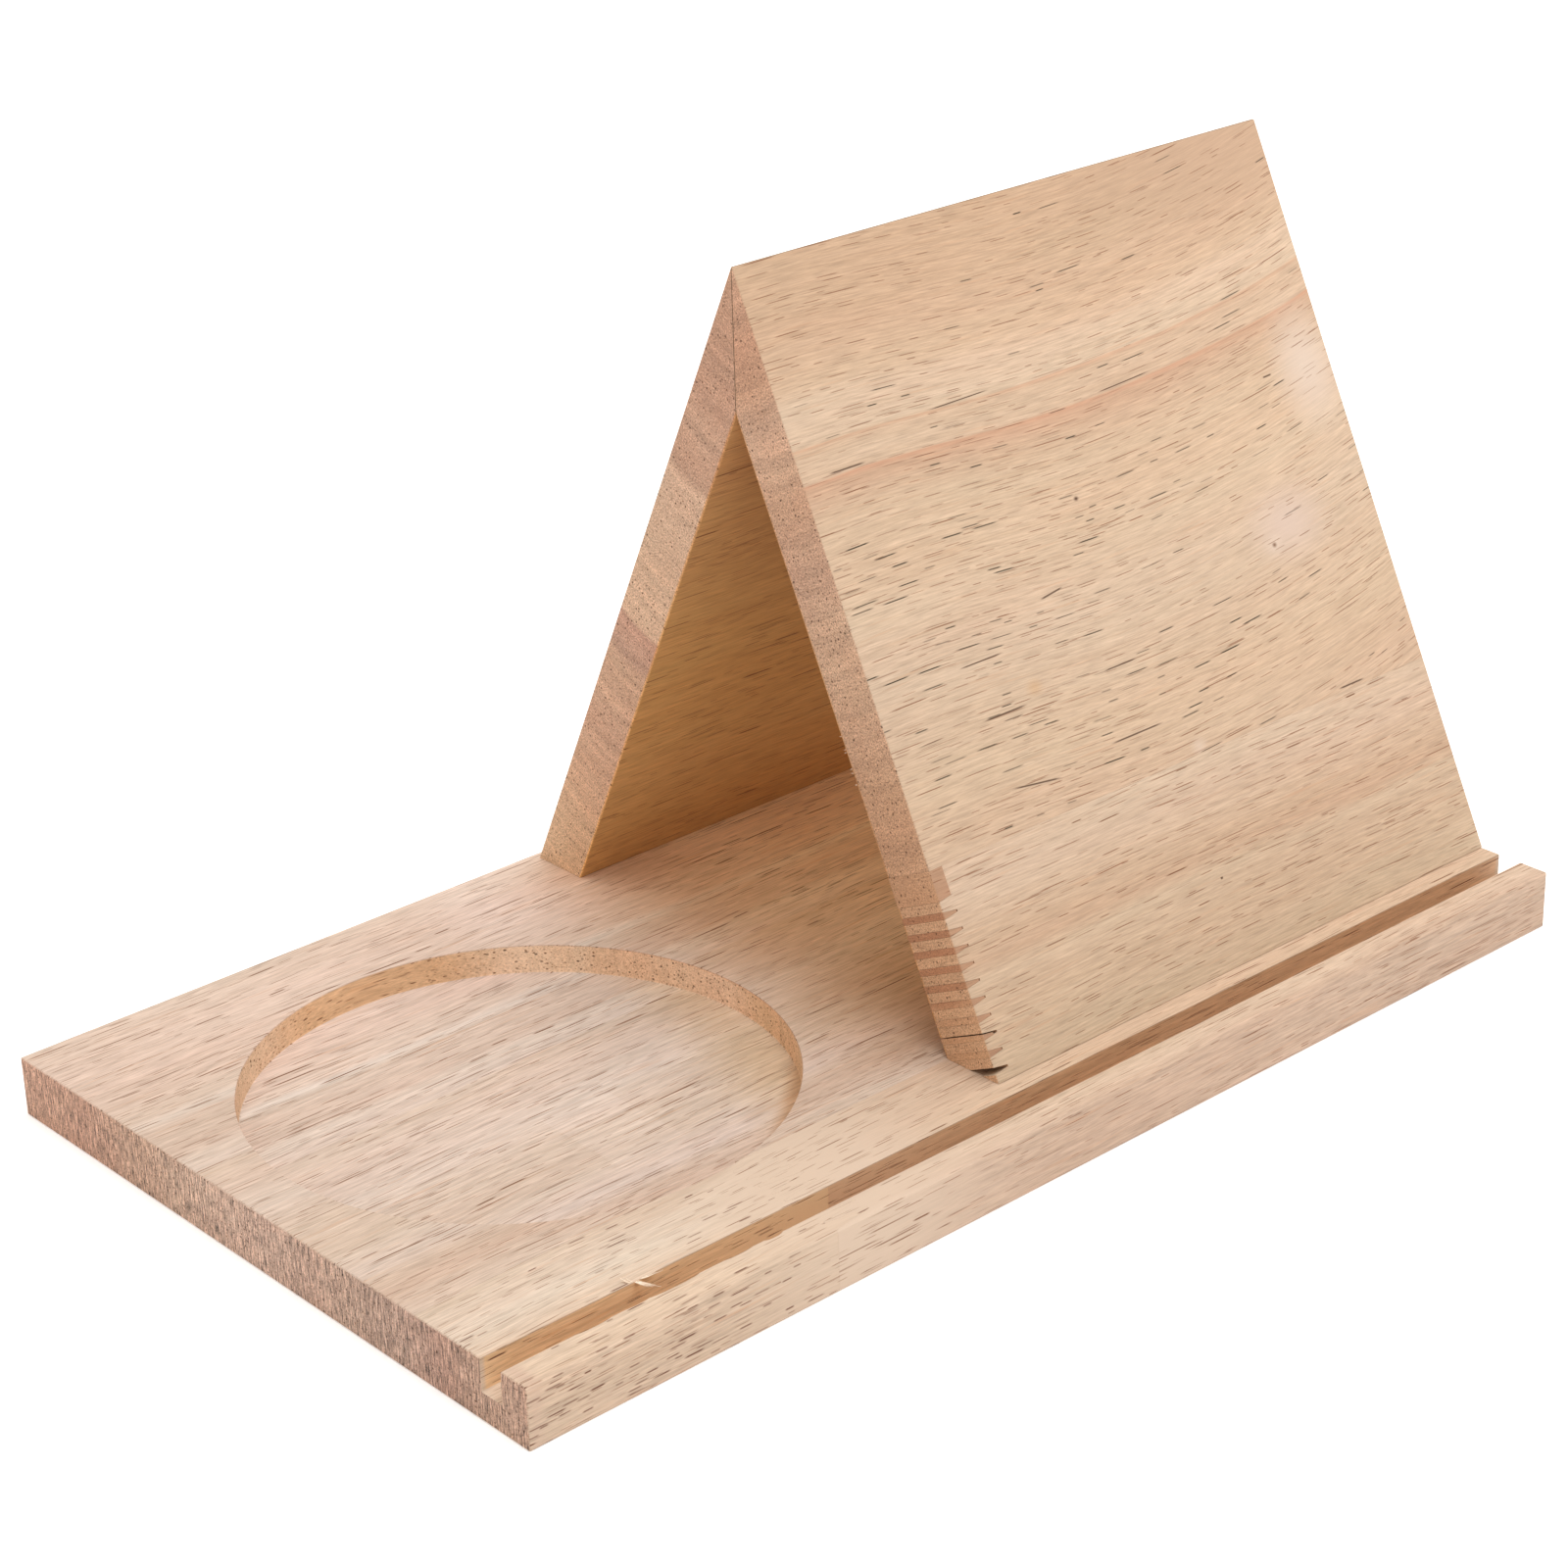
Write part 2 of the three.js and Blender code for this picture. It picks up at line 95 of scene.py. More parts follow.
class Sock:
    """One output of a shader node. Arithmetic with numbers and other outputs adds Math nodes."""

    def __init__(self, tree, socket):
        self.tree = tree
        self.socket = socket

    def node(self, kind, settings=None, inputs=None, output=0):
        """Adds a node: its settings first, then its sockets by name or number, as values or links."""
        made = self.tree.nodes.new("ShaderNode" + kind)
        for key, value in (settings or {}).items():
            if key == "stops":
                fill_ramp(made.color_ramp, value)
            else:
                setattr(made, key, value)
        for key, value in (inputs or {}).items():
            if isinstance(value, Sock):
                self.tree.links.new(value.socket, made.inputs[key])
            else:
                made.inputs[key].default_value = value
        return Sock(self.tree, made.outputs[output])

    def math(self, operation, *values):
        return self.node("Math", {"operation": operation}, dict(enumerate(values)))

    def __add__(self, other):
        return self.math("ADD", self, other)

    def __sub__(self, other):
        return self.math("SUBTRACT", self, other)

    def __mul__(self, other):
        return self.math("MULTIPLY", self, other)

    def __truediv__(self, other):
        return self.math("DIVIDE", self, other)

    def __radd__(self, other):
        return self.math("ADD", other, self)

    def __rsub__(self, other):
        return self.math("SUBTRACT", other, self)

    def __rmul__(self, other):
        return self.math("MULTIPLY", other, self)

    def __neg__(self):
        return self.math("MULTIPLY", self, -1.0)

    def __pow__(self, power):
        return self.math("POWER", self, power)

    def __abs__(self):
        return self.math("ABSOLUTE", self)

    def __gt__(self, other):
        return self.math("GREATER_THAN", self, other)

    def floor(self):
        return self.math("FLOOR", self)

    def most(self, other):
        return self.math("MAXIMUM", self, other)

    def rise(self, low, high):
        """0 below low, 1 above high and a smooth rise between them."""
        sockets = {"Value": self, "From Min": low, "From Max": high}
        return self.node("MapRange", {"interpolation_type": "SMOOTHSTEP"}, sockets)

    def near(self, middle, width):
        """1 at middle, falling smoothly to 0 at a distance of width."""
        return 1 - abs(self - middle).rise(0.0, width)


def fill_ramp(ramp, stops):
    """Sets a colour ramp's stops from (place, linear colour) pairs."""
    first, last = ramp.elements
    ramp.elements.remove(last)
    first.position, first.color = stops[0]
    for place, colour in stops[1:]:
        ramp.elements.new(place).color = colour


def linear(colour, light=1.0):
    """An sRGB colour of 0 to 255 as a linear one, divided by the light that falls on it."""
    part = np.asarray(colour, float) / 255
    flat = np.where(part <= 0.04045, part / 12.92, ((part + 0.055) / 1.055) ** 2.4) / light
    return (*(float(value) for value in flat), 1.0)


def join(x, y, z):
    """Three numbers as one vector."""
    some = next(value for value in (x, y, z) if isinstance(value, Sock))
    return some.node("CombineXYZ", inputs={"X": x, "Y": y, "Z": z})


def parts(vector):
    """The three numbers of a vector."""
    return [vector.node("SeparateXYZ", inputs={"Vector": vector}, output=i) for i in range(3)]


def noise(at, detail=2.0, roughness=0.5):
    """Smooth noise from about -1 to 1."""
    sockets = {"Vector": at, "Scale": 1.0, "Detail": detail, "Roughness": roughness}
    return (at.node("TexNoise", inputs=sockets) - 0.5) * 3.0


def random(at, seed):
    """Three random numbers from 0 to 1 for each whole-number place."""
    sockets = {"Vector": at, "W": float(seed)}
    colour = at.node("TexWhiteNoise", {"noise_dimensions": "4D"}, sockets, output="Color")
    return [colour.node("SeparateColor", inputs={"Color": colour}, output=i) for i in range(3)]


def blend(share, first, second, mode="MIX"):
    """The colour first, turned towards second by share, or mixed with it in another mode."""
    some = next(value for value in (share, first, second) if isinstance(value, Sock))
    settings = {"data_type": "RGBA", "blend_type": mode, "clamp_factor": True}
    factor, colour_a, colour_b, colour_out = 0, 6, 7, 2  # the node's sockets for colours
    return some.node("Mix", settings, {factor: share, colour_a: first, colour_b: second}, colour_out)


def tinted(colour, factor):
    """A colour times a grey factor."""
    return blend(1.0, colour, join(factor, factor, factor), "MULTIPLY")


def new_material(name, metallic=0.0, specular=0.35):
    """A material, its Principled shader, and the object's position in metres and normal there."""
    material = bpy.data.materials.new(name)
    material.use_nodes = True
    tree = material.node_tree
    shader = tree.nodes["Principled BSDF"]
    shader.inputs["Metallic"].default_value = metallic
    shader.inputs["Specular IOR Level"].default_value = specular
    coordinates = tree.nodes.new("ShaderNodeTexCoord")
    place = Sock(tree, coordinates.outputs["Object"])
    normal = Sock(tree, coordinates.outputs["Normal"])
    return material, shader, place, normal


def finish(shader, colour, roughness, height=None, depth=0.0):
    """Links colour, roughness and a bump of that height, in metres, to the shader."""
    colour.tree.links.new(colour.socket, shader.inputs["Base Color"])
    if isinstance(roughness, Sock):
        colour.tree.links.new(roughness.socket, shader.inputs["Roughness"])
    else:
        shader.inputs["Roughness"].default_value = roughness
    if height is not None:
        bump = height.node("Bump", inputs={"Height": height, "Strength": 1.0, "Distance": depth})
        colour.tree.links.new(bump.socket, shader.inputs["Normal"])


# ---------- Rubberwood ----------

def turned(place, location, lean):
    """Object position as millimetres in a board's own axes."""
    settings = {"vector_type": "TEXTURE"}
    sockets = {"Vector": place, "Location": location, "Rotation": (lean, 0.0, 0.0), "Scale": (MM, MM, MM)}
    return parts(place.node("Mapping", settings, sockets))


def base_grain(place):
    """Along the base from its left end, across it from the back edge, and down from its top."""
    x, y, z = turned(place, (LEFT_END, BACK_EDGE, BOARD_TOP), 0.0)
    return x, -y, -z


def front_grain(place):
    """Along the front panel from its left end, down from the ridge, and in from its outer face."""
    x, y, z = turned(place, (REST_LEFT, RIDGE_Y, RIDGE_Z), -LEAN)
    return x, -z, y


def back_grain(place):
    """Along the back panel from its left end, down from the ridge, and in from its outer face."""
    x, y, z = turned(place, (REST_LEFT, RIDGE_Y, RIDGE_Z), LEAN)
    return x, -z, -y


def pores(grain, kind, share, seed):
    """Open pores as short tubes along the grain, one at most to each cell of a random brick pattern.

    They show as dashes where the surface runs along the grain and as dots on its ends. Each row of
    cells is shifted along the grain and in depth by amounts of its own, so that any flat cut meets
    some of them. Where a slow noise is high more cells hold one. The result is 1 in a dark pore,
    less in a pale one and 0 outside.
    """
    length, pitch, radius, spread = kind
    along, across, deep = grain
    margin, room = 0.2, 0.6  # shares of a cell: a pore keeps clear of its sides
    row = (across / pitch).floor()
    lift, slide, _ = random(join(row, 0.0, 0.0), seed)
    depth = deep / pitch + lift
    layer = depth.floor()
    shift = random(join(row, layer, 0.0), seed + 1)[0]
    run = along / length + shift + slide
    column = run.floor()
    off_a, off_d, long = random(join(column, row, layer), seed + 2)
    chance, dark, _ = random(join(column, row, layer), seed + 3)
    crowd = noise(join(column * (length / spread / 3), row * (pitch / spread), seed * 1.7), 1.0)
    gap_a = across / pitch - row - margin - off_a * room
    gap_d = depth - layer - margin - off_d * room
    apart = (gap_a * gap_a + gap_d * gap_d) ** 0.5 * pitch
    half = 0.14 + long * 0.32  # of a pore's length, as a share of its cell's
    tube = 1 - apart.rise(radius * 0.7, radius * 1.3)
    tip = 1 - abs(run - column - 0.5).rise(half * 0.5, half)
    held = ((1 + crowd * 1.1) * share) > chance
    return tube * tip * held * (0.45 + dark * 0.55)


def dashes(grain, marks):
    """Single pores where they lie on the surface: (along, across, length, width, slope) in millimetres."""
    along, across, deep = grain
    total = None
    for start, level, length, width, slope in marks:
        from_start = (along - start) / length
        off = (across - level - slope * (along - start)) / width
        body = (1 - abs(off).rise(0.25, 1.0)) * (1 - abs(from_start - 0.5).rise(0.3, 0.5))
        total = body if total is None else total.most(body)
    return total * (1 - deep.rise(0.8, 1.2))  # about a millimetre deep


def spot(grain, along, across, long, wide):
    """An oval patch, 1 at its middle and 0 at its edge."""
    away_a = (grain[0] - along) / long
    away_b = (grain[1] - across) / wide
    return 1 - ((away_a * away_a + away_b * away_b) ** 0.5).rise(0.0, 1.0)


def ring_line(level, place, width, fade):
    """A growth line: it starts sharply at place and fades over fade on the far side."""
    away = level - place
    return away.rise(-width, 0.0) * (1 - away.rise(0.0, fade))


def bands(level, stops, light):
    """A colour for each level across a board, from (level, sRGB colour) stops."""
    first, last = stops[0][0], stops[-1][0]
    pairs = [((at - first) / (last - first), linear(colour, light)) for at, colour in stops]
    return level.node("ValToRGB", {"stops": pairs}, {"Fac": (level - first) / (last - first)})


# How brightly white wood shows on the base's top, a panel's outer face, a panel's end and the
# base's left end. A face's colours are divided by its light.
TOP_LIGHT = 1.35
FRONT_LIGHT = 1.47
SIDE_LIGHT = 0.95
LEFT_LIGHT = 1.01

PORE_DARK = linear((76, 52, 36))
PORE_BROWN = linear((126, 84, 57))
GREENISH = linear((60, 50, 34))
WARM_BROWN = linear((114, 76, 50))
LIP_BROWN = linear((104, 66, 48))
STREAK_BROWN = linear((186, 142, 110))
RING_RED = linear((186, 128, 98))
TORN_WHITE = linear((232, 214, 200), SIDE_LIGHT)
WARM_TINT = linear((255, 246, 238))
COOL_TINT = linear((250, 255, 250))

# Length of a cell, its width, a pore's radius and how far its crowds reach, in millimetres.
FINE_PORE = (9.0, 0.6, 0.1, 26.0)
MIDDLE_PORE = (15.0, 0.95, 0.12, 20.0)
LONG_PORE = (18.0, 1.4, 0.19, 18.0)
SHORT_PORE = (9.5, 1.3, 0.15, 16.0)
LIP_PORE = (6.5, 0.85, 0.19, 12.0)
END_PORE = (6.0, 1.3, 0.24, 7.0)

RING_TILT = 0.3  # the growth rings on an end lean by this slope
SAWN_ZONE = (1.5, 0.8)  # saw marks fade in between these distances from a board's end
BUMP_DEPTH = 0.03 * MM


def ground(board, seed, at, sway, level, end):
    """The wood without its pores: bands on the faces, rings on the ends, and streaks of fibre."""
    along, across, deep = at
    fibre = noise(join(along / 8.0, level / 0.38, deep / 0.38), 3.0, 0.65)
    streak = noise(join(along / 40.0, level / 1.5, deep / 1.5 + seed), 2.5)
    cloud = noise(join(along / 70.0, level / 9.0, deep / 9.0 + seed * 2.3), 2.0)
    thread = noise(join(along / 22.0, level / 0.7, deep / 0.7 + seed * 1.3), 1.5).rise(0.25, 1.1)

    face = bands(level + cloud * board.get("wander", 0.9), board["bands"], board["light"])
    ring = across - deep * RING_TILT + sway * 1.5 + deep * deep * 0.02
    end_face = bands(ring, board["end_bands"], board["end_light"])
    growth = 1 + noise(join(ring / 2.6, deep / 50.0, seed * 2.9), 3.0, 0.6) * board.get("growth", 0.14)
    colour = blend(end, face, tinted(end_face, growth))

    warm = blend(0.5 + cloud * 0.5, WARM_TINT, COOL_TINT)
    colour = blend(0.55, colour, warm, "MULTIPLY")
    shade = 1 + fibre * board.get("fibre", 0.24) + streak * board.get("streak", 0.1)
    tone = join(shade, shade + streak * 0.012, shade + streak * 0.035)
    colour = blend(1.0, colour, tone, "MULTIPLY")
    colour = blend(thread * board.get("thread", 0.45) * (1 - end), colour, STREAK_BROWN)
    return colour, fibre, streak


def features(colour, board, at, level, streak, end, nz):
    """Adds a board's growth lines, its patches and knots, and its tints, mostly painted light and shade.
    """
    along, across, deep = at
    for place, width, fade, strength in board.get("ring_lines", ()):
        line = ring_line(level + streak * 0.5, place, width, fade) * strength * (0.8 + streak)
        colour = blend(line * (1 - end), colour, RING_RED)
    for along_at, across_at, long, wide, tint, strength in board.get("patches", ()):
        area = spot(at, along_at, across_at, long, wide) * strength
        colour = blend(area, colour, linear(tint, board["light"]))
    for mask, tint in board.get("tints", ()):
        colour = blend(mask(along, across, deep, nz), colour, (*tint, 1.0), "MULTIPLY")
    return colour


def porous(colour, board, seed, at, grain, nx):
    """Adds the pores. Returns the colour and how open the wood is, from 0 to 1."""
    crowd = board["crowd"](*at[:2]) if "crowd" in board else 1.0
    fine = pores(grain, FINE_PORE, board.get("fine", 0.5), seed + 10)
    middle = pores(grain, MIDDLE_PORE, board.get("middle", 0.4) * crowd, seed + 20)
    coarse = pores(grain, board.get("coarse_kind", LONG_PORE), board.get("coarse", 0.2) * crowd, seed + 30)
    dots = pores(grain, END_PORE, board.get("dots", 0.45), seed + 40) * abs(nx).rise(0.3, 0.6)
    colour = blend(fine * 0.75, colour, PORE_BROWN)
    colour = blend(middle * 0.9, colour, PORE_BROWN)
    colour = blend(coarse, colour, board.get("coarse_pore", PORE_DARK))
    colour = blend(dots * 0.9, colour, PORE_DARK)
    openness = fine.most(middle).most(coarse).most(dots)
    if board.get("marks"):
        drawn = dashes(at, board["marks"])
        colour = blend(drawn * 0.9, colour, PORE_DARK)
        openness = openness.most(drawn)
    return colour, openness


def sawn_ends(colour, board, at, nx, end):
    """Roughens and bleaches the ends. Returns the colour and how much the cut stands out."""
    along, across, deep = at
    half = board["length"] / 2
    edge = abs(along - half).rise(half - SAWN_ZONE[0], half - SAWN_ZONE[1])
    sawn = abs(nx).rise(0.96, 0.995) * edge
    fuzz = noise(join(along / 2.0, across / 0.45, deep / 4.0), 3.0, 0.75)
    speck = noise(join(along / 2.0, across / 0.4, deep / 0.4 + 5.0), 2.0, 0.7)
    rough = fuzz * board.get("end_fuzz", 0.1) * sawn
    rough = rough + speck * board.get("end_speck", 0.5) * end * (0.3 + edge * 0.7)
    colour = tinted(colour, 1 + rough)
    torn = fuzz.rise(0.3, 0.9) * sawn * board.get("torn", 0.0)
    return blend(torn, colour, TORN_WHITE), rough


def wood(name, board, grain_of, seed):
    """Rubberwood as a solid pattern, so that faces, ends and the recess all cut the same wood."""
    material, shader, place, normal = new_material(name)
    along, across, deep = at = grain_of(place)
    drift = board["warp"](along, across) if "warp" in board else 0.0
    sway = noise(join(along / 55.0, across / 30.0, deep / 40.0 + seed * 3.1), 1.0)
    level = across + sway * board.get("sway", 0.7) - drift
    nx, _, nz = parts(normal)
    end = abs(nx).rise(0.55, 0.95)

    colour, fibre, streak = ground(board, seed, at, sway, level, end)
    colour = features(colour, board, at, level, streak, end, nz)
    colour, openness = porous(colour, board, seed, at, (along, level, deep), nx)
    colour, rough = sawn_ends(colour, board, at, nx, end)

    height = fibre * 0.25 - openness * 1.6 + rough * 3.0
    roughness = 0.56 + fibre * 0.03 + openness * 0.2 + end * 0.12
    finish(shader, colour, roughness, height, BUMP_DEPTH)
    return material


BASE_BANDS = [
    (0, (234, 208, 191)),
    (15, (233, 205, 189)),
    (30, (229, 200, 183)),
    (42, (227, 199, 181)),
    (44.5, (231, 211, 197)),
    (47, (222, 195, 177)),
    (57, (220, 192, 174)),
    (61, (229, 206, 190)),
    (66.5, (228, 203, 188)),
    (68, (224, 197, 178)),
    (78, (227, 200, 183)),
    (88, (228, 205, 190)),
    (100, (224, 198, 179)),
    (112, (223, 197, 178)),
    (122, (226, 202, 188)),
    (126, (219, 191, 172)),
    (131, (215, 184, 164)),
    (137, (222, 195, 177)),
    (146, (228, 205, 188)),
    (153, (230, 210, 194)),
    (160, (228, 203, 183)),
    (174, (227, 200, 177)),
]

BASE_END_BANDS = [
    (0, (191, 149, 128)),
    (27, (190, 149, 129)),
    (47, (192, 157, 136)),
    (67, (196, 164, 146)),
    (90, (197, 165, 149)),
    (107, (190, 157, 140)),
    (117, (186, 155, 138)),
    (137, (180, 149, 134)),
    (147, (176, 139, 123)),
    (160, (182, 148, 129)),
    (174, (184, 149, 130)),
]

FRONT_BANDS = [
    (0, (213, 177, 147)),
    (13, (214, 178, 148)),
    (20, (218, 182, 153)),
    (28, (222, 188, 159)),
    (32, (227, 196, 170)),
    (39.5, (226, 197, 171)),
    (40.2, (219, 185, 157)),
    (43, (222, 190, 163)),
    (47, (222, 190, 163)),
    (48, (214, 176, 148)),
    (52, (217, 181, 153)),
    (57, (222, 190, 162)),
    (70, (225, 194, 166)),
    (90, (224, 195, 170)),
    (100, (222, 192, 166)),
    (115, (223, 192, 164)),
    (130.4, (220, 187, 160)),
]

# The stops towards the foot, from 170 on, are raised a little to make up for the shade near the base:
# painted light.
FOOT_BANDS = [
    (130, (223, 194, 169)),
    (138, (222, 191, 167)),
    (144, (219, 188, 162)),
    (149, (214, 181, 153)),
    (152.5, (213, 177, 149)),
    (156, (219, 190, 163)),
    (159, (217, 187, 160)),
    (164, (219, 188, 160)),
    (170, (222, 192, 164)),
    (178, (228, 200, 172)),
]

FRONT_END_BANDS = [
    (0, (188, 149, 126)),
    (16, (185, 142, 118)),
    (25, (188, 147, 122)),
    (33, (196, 159, 136)),
    (42, (195, 159, 135)),
    (50, (190, 151, 126)),
    (64, (189, 152, 130)),
    (76, (196, 161, 137)),
    (90, (195, 160, 135)),
    (100, (192, 155, 130)),
    (112, (192, 153, 125)),
    (120, (190, 150, 122)),
    (131, (190, 150, 121)),
]

FOOT_END_BANDS = [
    (130, (193, 153, 123)),
    (150, (199, 159, 128)),
    (165, (203, 163, 131)),
    (178, (204, 163, 131)),
]

BACK_BANDS = [
    (0, (218, 184, 155)),
    (30, (224, 192, 165)),
    (47, (221, 188, 160)),
    (60, (225, 195, 166)),
    (95, (224, 194, 163)),
    (120, (220, 187, 156)),
    (141, (223, 192, 164)),
    (160, (218, 184, 153)),
    (180, (222, 190, 160)),
]

BACK_END_BANDS = [
    (0, (190, 150, 126)),
    (25, (186, 145, 123)),
    (37, (191, 153, 131)),
    (50, (188, 150, 128)),
    (54, (204, 170, 147)),
    (80, (204, 170, 145)),
    (95, (208, 174, 149)),
    (96, (187, 146, 127)),
    (104, (190, 151, 131)),
    (108, (199, 162, 137)),
    (126, (202, 162, 138)),
    (150, (208, 168, 139)),
    (165, (214, 177, 145)),
    (180, (216, 183, 151)),
]

SHORT_BANDS = [
    (139, (223, 197, 176)),
    (146, (228, 204, 185)),
    (153, (230, 209, 191)),
    (160, (228, 202, 180)),
    (171, (229, 202, 178)),
    (174, (213, 186, 163)),
]

LONG_BANDS = [
    (139, (217, 186, 162)),
    (146, (217, 185, 160)),
    (153, (213, 181, 156)),
    (160, (214, 184, 158)),
    (167, (218, 191, 168)),
    (171, (219, 191, 169)),
    (174, (206, 175, 153)),
]


def between(value, low, high, soft=0.5):
    """1 from low to high, with soft edges."""
    return value.rise(low - soft, low + soft) * (1 - value.rise(high - soft, high + soft))


def hollow_walls(along, across, deep, nz):
    """The walls of the slot and the recess, but not the base's outer edges."""
    upright = 1 - abs(nz).rise(0.3, 0.7)
    inboard = between(across, 2.0, BASE_DEPTH - 2.0) * between(along, 1.0, BASE_LENGTH - 1.0)
    return upright * inboard * deep.rise(0.15, 0.4)


def right_hollow_wall(along, across, deep, nz):
    """The recess's wall towards the rest, which sees more of the bright floor; its tint is painted light.
    """
    return hollow_walls(along, across, deep, nz) * along.rise(92.0, 116.0)


def far_wall_painted_shade(along, across, deep, nz):
    """The recess's wall at the back, between its left and right parts; its tint is painted shade."""
    wall = hollow_walls(along, across, deep, nz)
    return wall * between(along, 50.0, 99.0, 9.0) * (1 - across.rise(50.0, 70.0))


def near_wall_painted_shade(along, across, deep, nz):
    """The recess's wall at its front right, in its own shade, which its tint paints."""
    return right_hollow_wall(along, across, deep, nz) * across.rise(78.0, 95.0)


def towards(along, across, turn):
    """The distance from the recess's middle along a direction, in degrees from the right to the front."""
    from_middle = along - (RECESS_X - LEFT_END) / MM
    to_front = across - (BACK_EDGE - RECESS_Y) / MM
    return from_middle * math.cos(math.radians(turn)) + to_front * math.sin(math.radians(turn))


def at_floor(deep):
    """Below the recess's walls."""
    return deep.rise(RECESS_DEPTH - 0.5, RECESS_DEPTH - 0.1)


def recess_floor(along, across, deep, nz):
    """The floor of the recess, but not that of the slot."""
    return at_floor(deep) * abs(nz).rise(0.5, 0.9) * (1 - across.rise(145.0, 150.0))


def floor_rim(along, across, deep, nz):
    """The right edge of the recess floor: painted warm shade and light bounced from the wall beside it."""
    return towards(along, across, 15).rise(34.0, 54.0) * recess_floor(along, across, deep, nz)


def front_rim_painted_shade(along, across, deep, nz):
    """A narrow crescent of the floor in the shade of the wall at the front right: painted shade."""
    return towards(along, across, 50).rise(53.0, 57.0) * recess_floor(along, across, deep, nz)


def cutter_pass(along, across, deep, nz):
    """A slightly lighter, cooler square on the recess floor, between two cutter marks."""
    return between(along, 69.9, 87.7, 0.3) * between(across, 90.0, 116.0, 3.0) * at_floor(deep)


def on_top(deep):
    """On the board's upper face."""
    return 1 - deep.rise(0.3, 0.8)


def under_rest(along, across, deep, nz):
    """The part of the base's top that the two panels shelter; its tint is painted warm shade."""
    return between(along, 138.5, 266.0, 26.5) * between(across, 4.0, 132.0, 12.0) * on_top(deep)


def deep_under_rest_painted_light(along, across, deep, nz):
    """Further in: painted light for the light that comes through from the other end and makes up for the
    shade.
    """
    return between(along, 167.0, 252.0, 22.0) * between(across, 4.0, 132.0, 12.0) * on_top(deep)


def beside_rest_painted_light(along, across, deep, nz):
    """The top beside the back panel's foot, in its soft shade, which painted light lifts."""
    return between(along, 105.0, 140.0, 12.0) * (1 - across.rise(20.0, 45.0))


def inner_face(along, across, deep, nz):
    """The side of a panel that faces the other one; its tint is painted warm shade."""
    return deep.rise(BOARD - 0.8, BOARD - 0.2)


def lower_inner_face_painted_light(along, across, deep, nz):
    """The lower part of a panel's inner side, which the base lights from below: painted light."""
    return inner_face(along, across, deep, nz) * across.rise(60.0, 125.0)


def lens_at_right(along, across):
    """The grain of the front panel runs level, then rises towards the right end."""
    straight = 98.0  # the grain runs level as far as here
    rise = ((along - straight) / (REST_WIDTH - straight)).most(0.0)
    sag = along.near(72.0, 60.0)
    return sag * 1.5 - rise * rise * 6.8


def left_crowd(along, across):
    """Dark pores crowd in the front panel's left half, below its first growth line."""
    low = between(across, 52.0, 128.0, 8.0)
    left = 1 - along.rise(55.0, 125.0)
    return 0.45 + low * 0.5 + low * left * 1.5


def lip_crowd(along, across):
    """Short dark pores crowd on the front edge of the base, towards its left end."""
    front = across.rise(BASE_DEPTH - 2.0, BASE_DEPTH - 0.5)
    return 0.25 + front * (1 - along.rise(55.0, 90.0)) * 0.75


# Both lengths of the front stave look alike at their finger joint.
JOINT_PATCH = (82.0, 158.0, 42.0, 40.0, (226, 200, 177), 1.0)

BASE_BOARD = {
    "length": BASE_LENGTH,
    "bands": BASE_BANDS,
    "end_bands": BASE_END_BANDS,
    "light": TOP_LIGHT,
    "end_light": LEFT_LIGHT,
    "sway": 1.2,
    "fibre": 0.36,
    "streak": 0.13,
    "thread": 0.6,
    "fine": 1.0,
    "middle": 1.0,
    "coarse": 0.6,
    "coarse_pore": WARM_BROWN,
    "end_fuzz": 1.7,
    "torn": 0.95,
    "dots": 0.5,
    "growth": 0.2,
    "marks": [
        (18, 74, 13, 0.24, 0.0),
        (30, 78.5, 9, 0.22, 0.01),
        (42, 72.5, 12, 0.24, 0.0),
        (50, 83, 15, 0.26, 0.01),
        (26, 86, 9, 0.24, 0.0),
        (62, 79, 11, 0.22, -0.01),
        (69, 88, 12, 0.26, 0.0),
        (38, 90.5, 8, 0.24, 0.01),
    ],
    # Tints, mostly painted light and shade in the recess and under the rest.
    "tints": [
        # Recess walls: a warm tint, partly the routed wood's own colour and partly painted warm shade.
        (hollow_walls, (1.16, 1.08, 0.9)),
        # Painted light on the wall towards the rest.
        (right_hollow_wall, (1.22, 1.28, 1.36)),
        (far_wall_painted_shade, (0.96, 0.87, 0.75)),
        (near_wall_painted_shade, (0.96, 0.9, 0.77)),
        (floor_rim, (0.99, 0.91, 0.76)),
        (front_rim_painted_shade, (0.82, 0.68, 0.55)),
        (cutter_pass, (1.05, 1.06, 1.08)),
        # Painted light that lightens and cools the recess floor.
        (recess_floor, (1.03, 1.05, 1.08)),
        (beside_rest_painted_light, (1.12, 1.15, 1.2)),
        (under_rest, (1.02, 0.78, 0.53)),
        (deep_under_rest_painted_light, (1.55, 1.9, 2.15)),
    ],
}

SHORT_BOARD = {
    **BASE_BOARD,
    "bands": SHORT_BANDS,
    "crowd": lip_crowd,
    "middle": 0.8,
    "coarse": 1.0,
    "coarse_pore": LIP_BROWN,
    "coarse_kind": LIP_PORE,
    "marks": None,
    "patches": [
        JOINT_PATCH,
        (85.5, 143.0, 1.6, 1.1, (140, 104, 84), 0.7),
        (2.0, 170.0, 3.0, 9.0, (214, 178, 158), 0.5),
    ],
    # Slot walls: a warm tint, partly the cut wood's own colour and partly painted warm shade.
    "tints": [(hollow_walls, (1.24, 1.09, 0.84))],
}

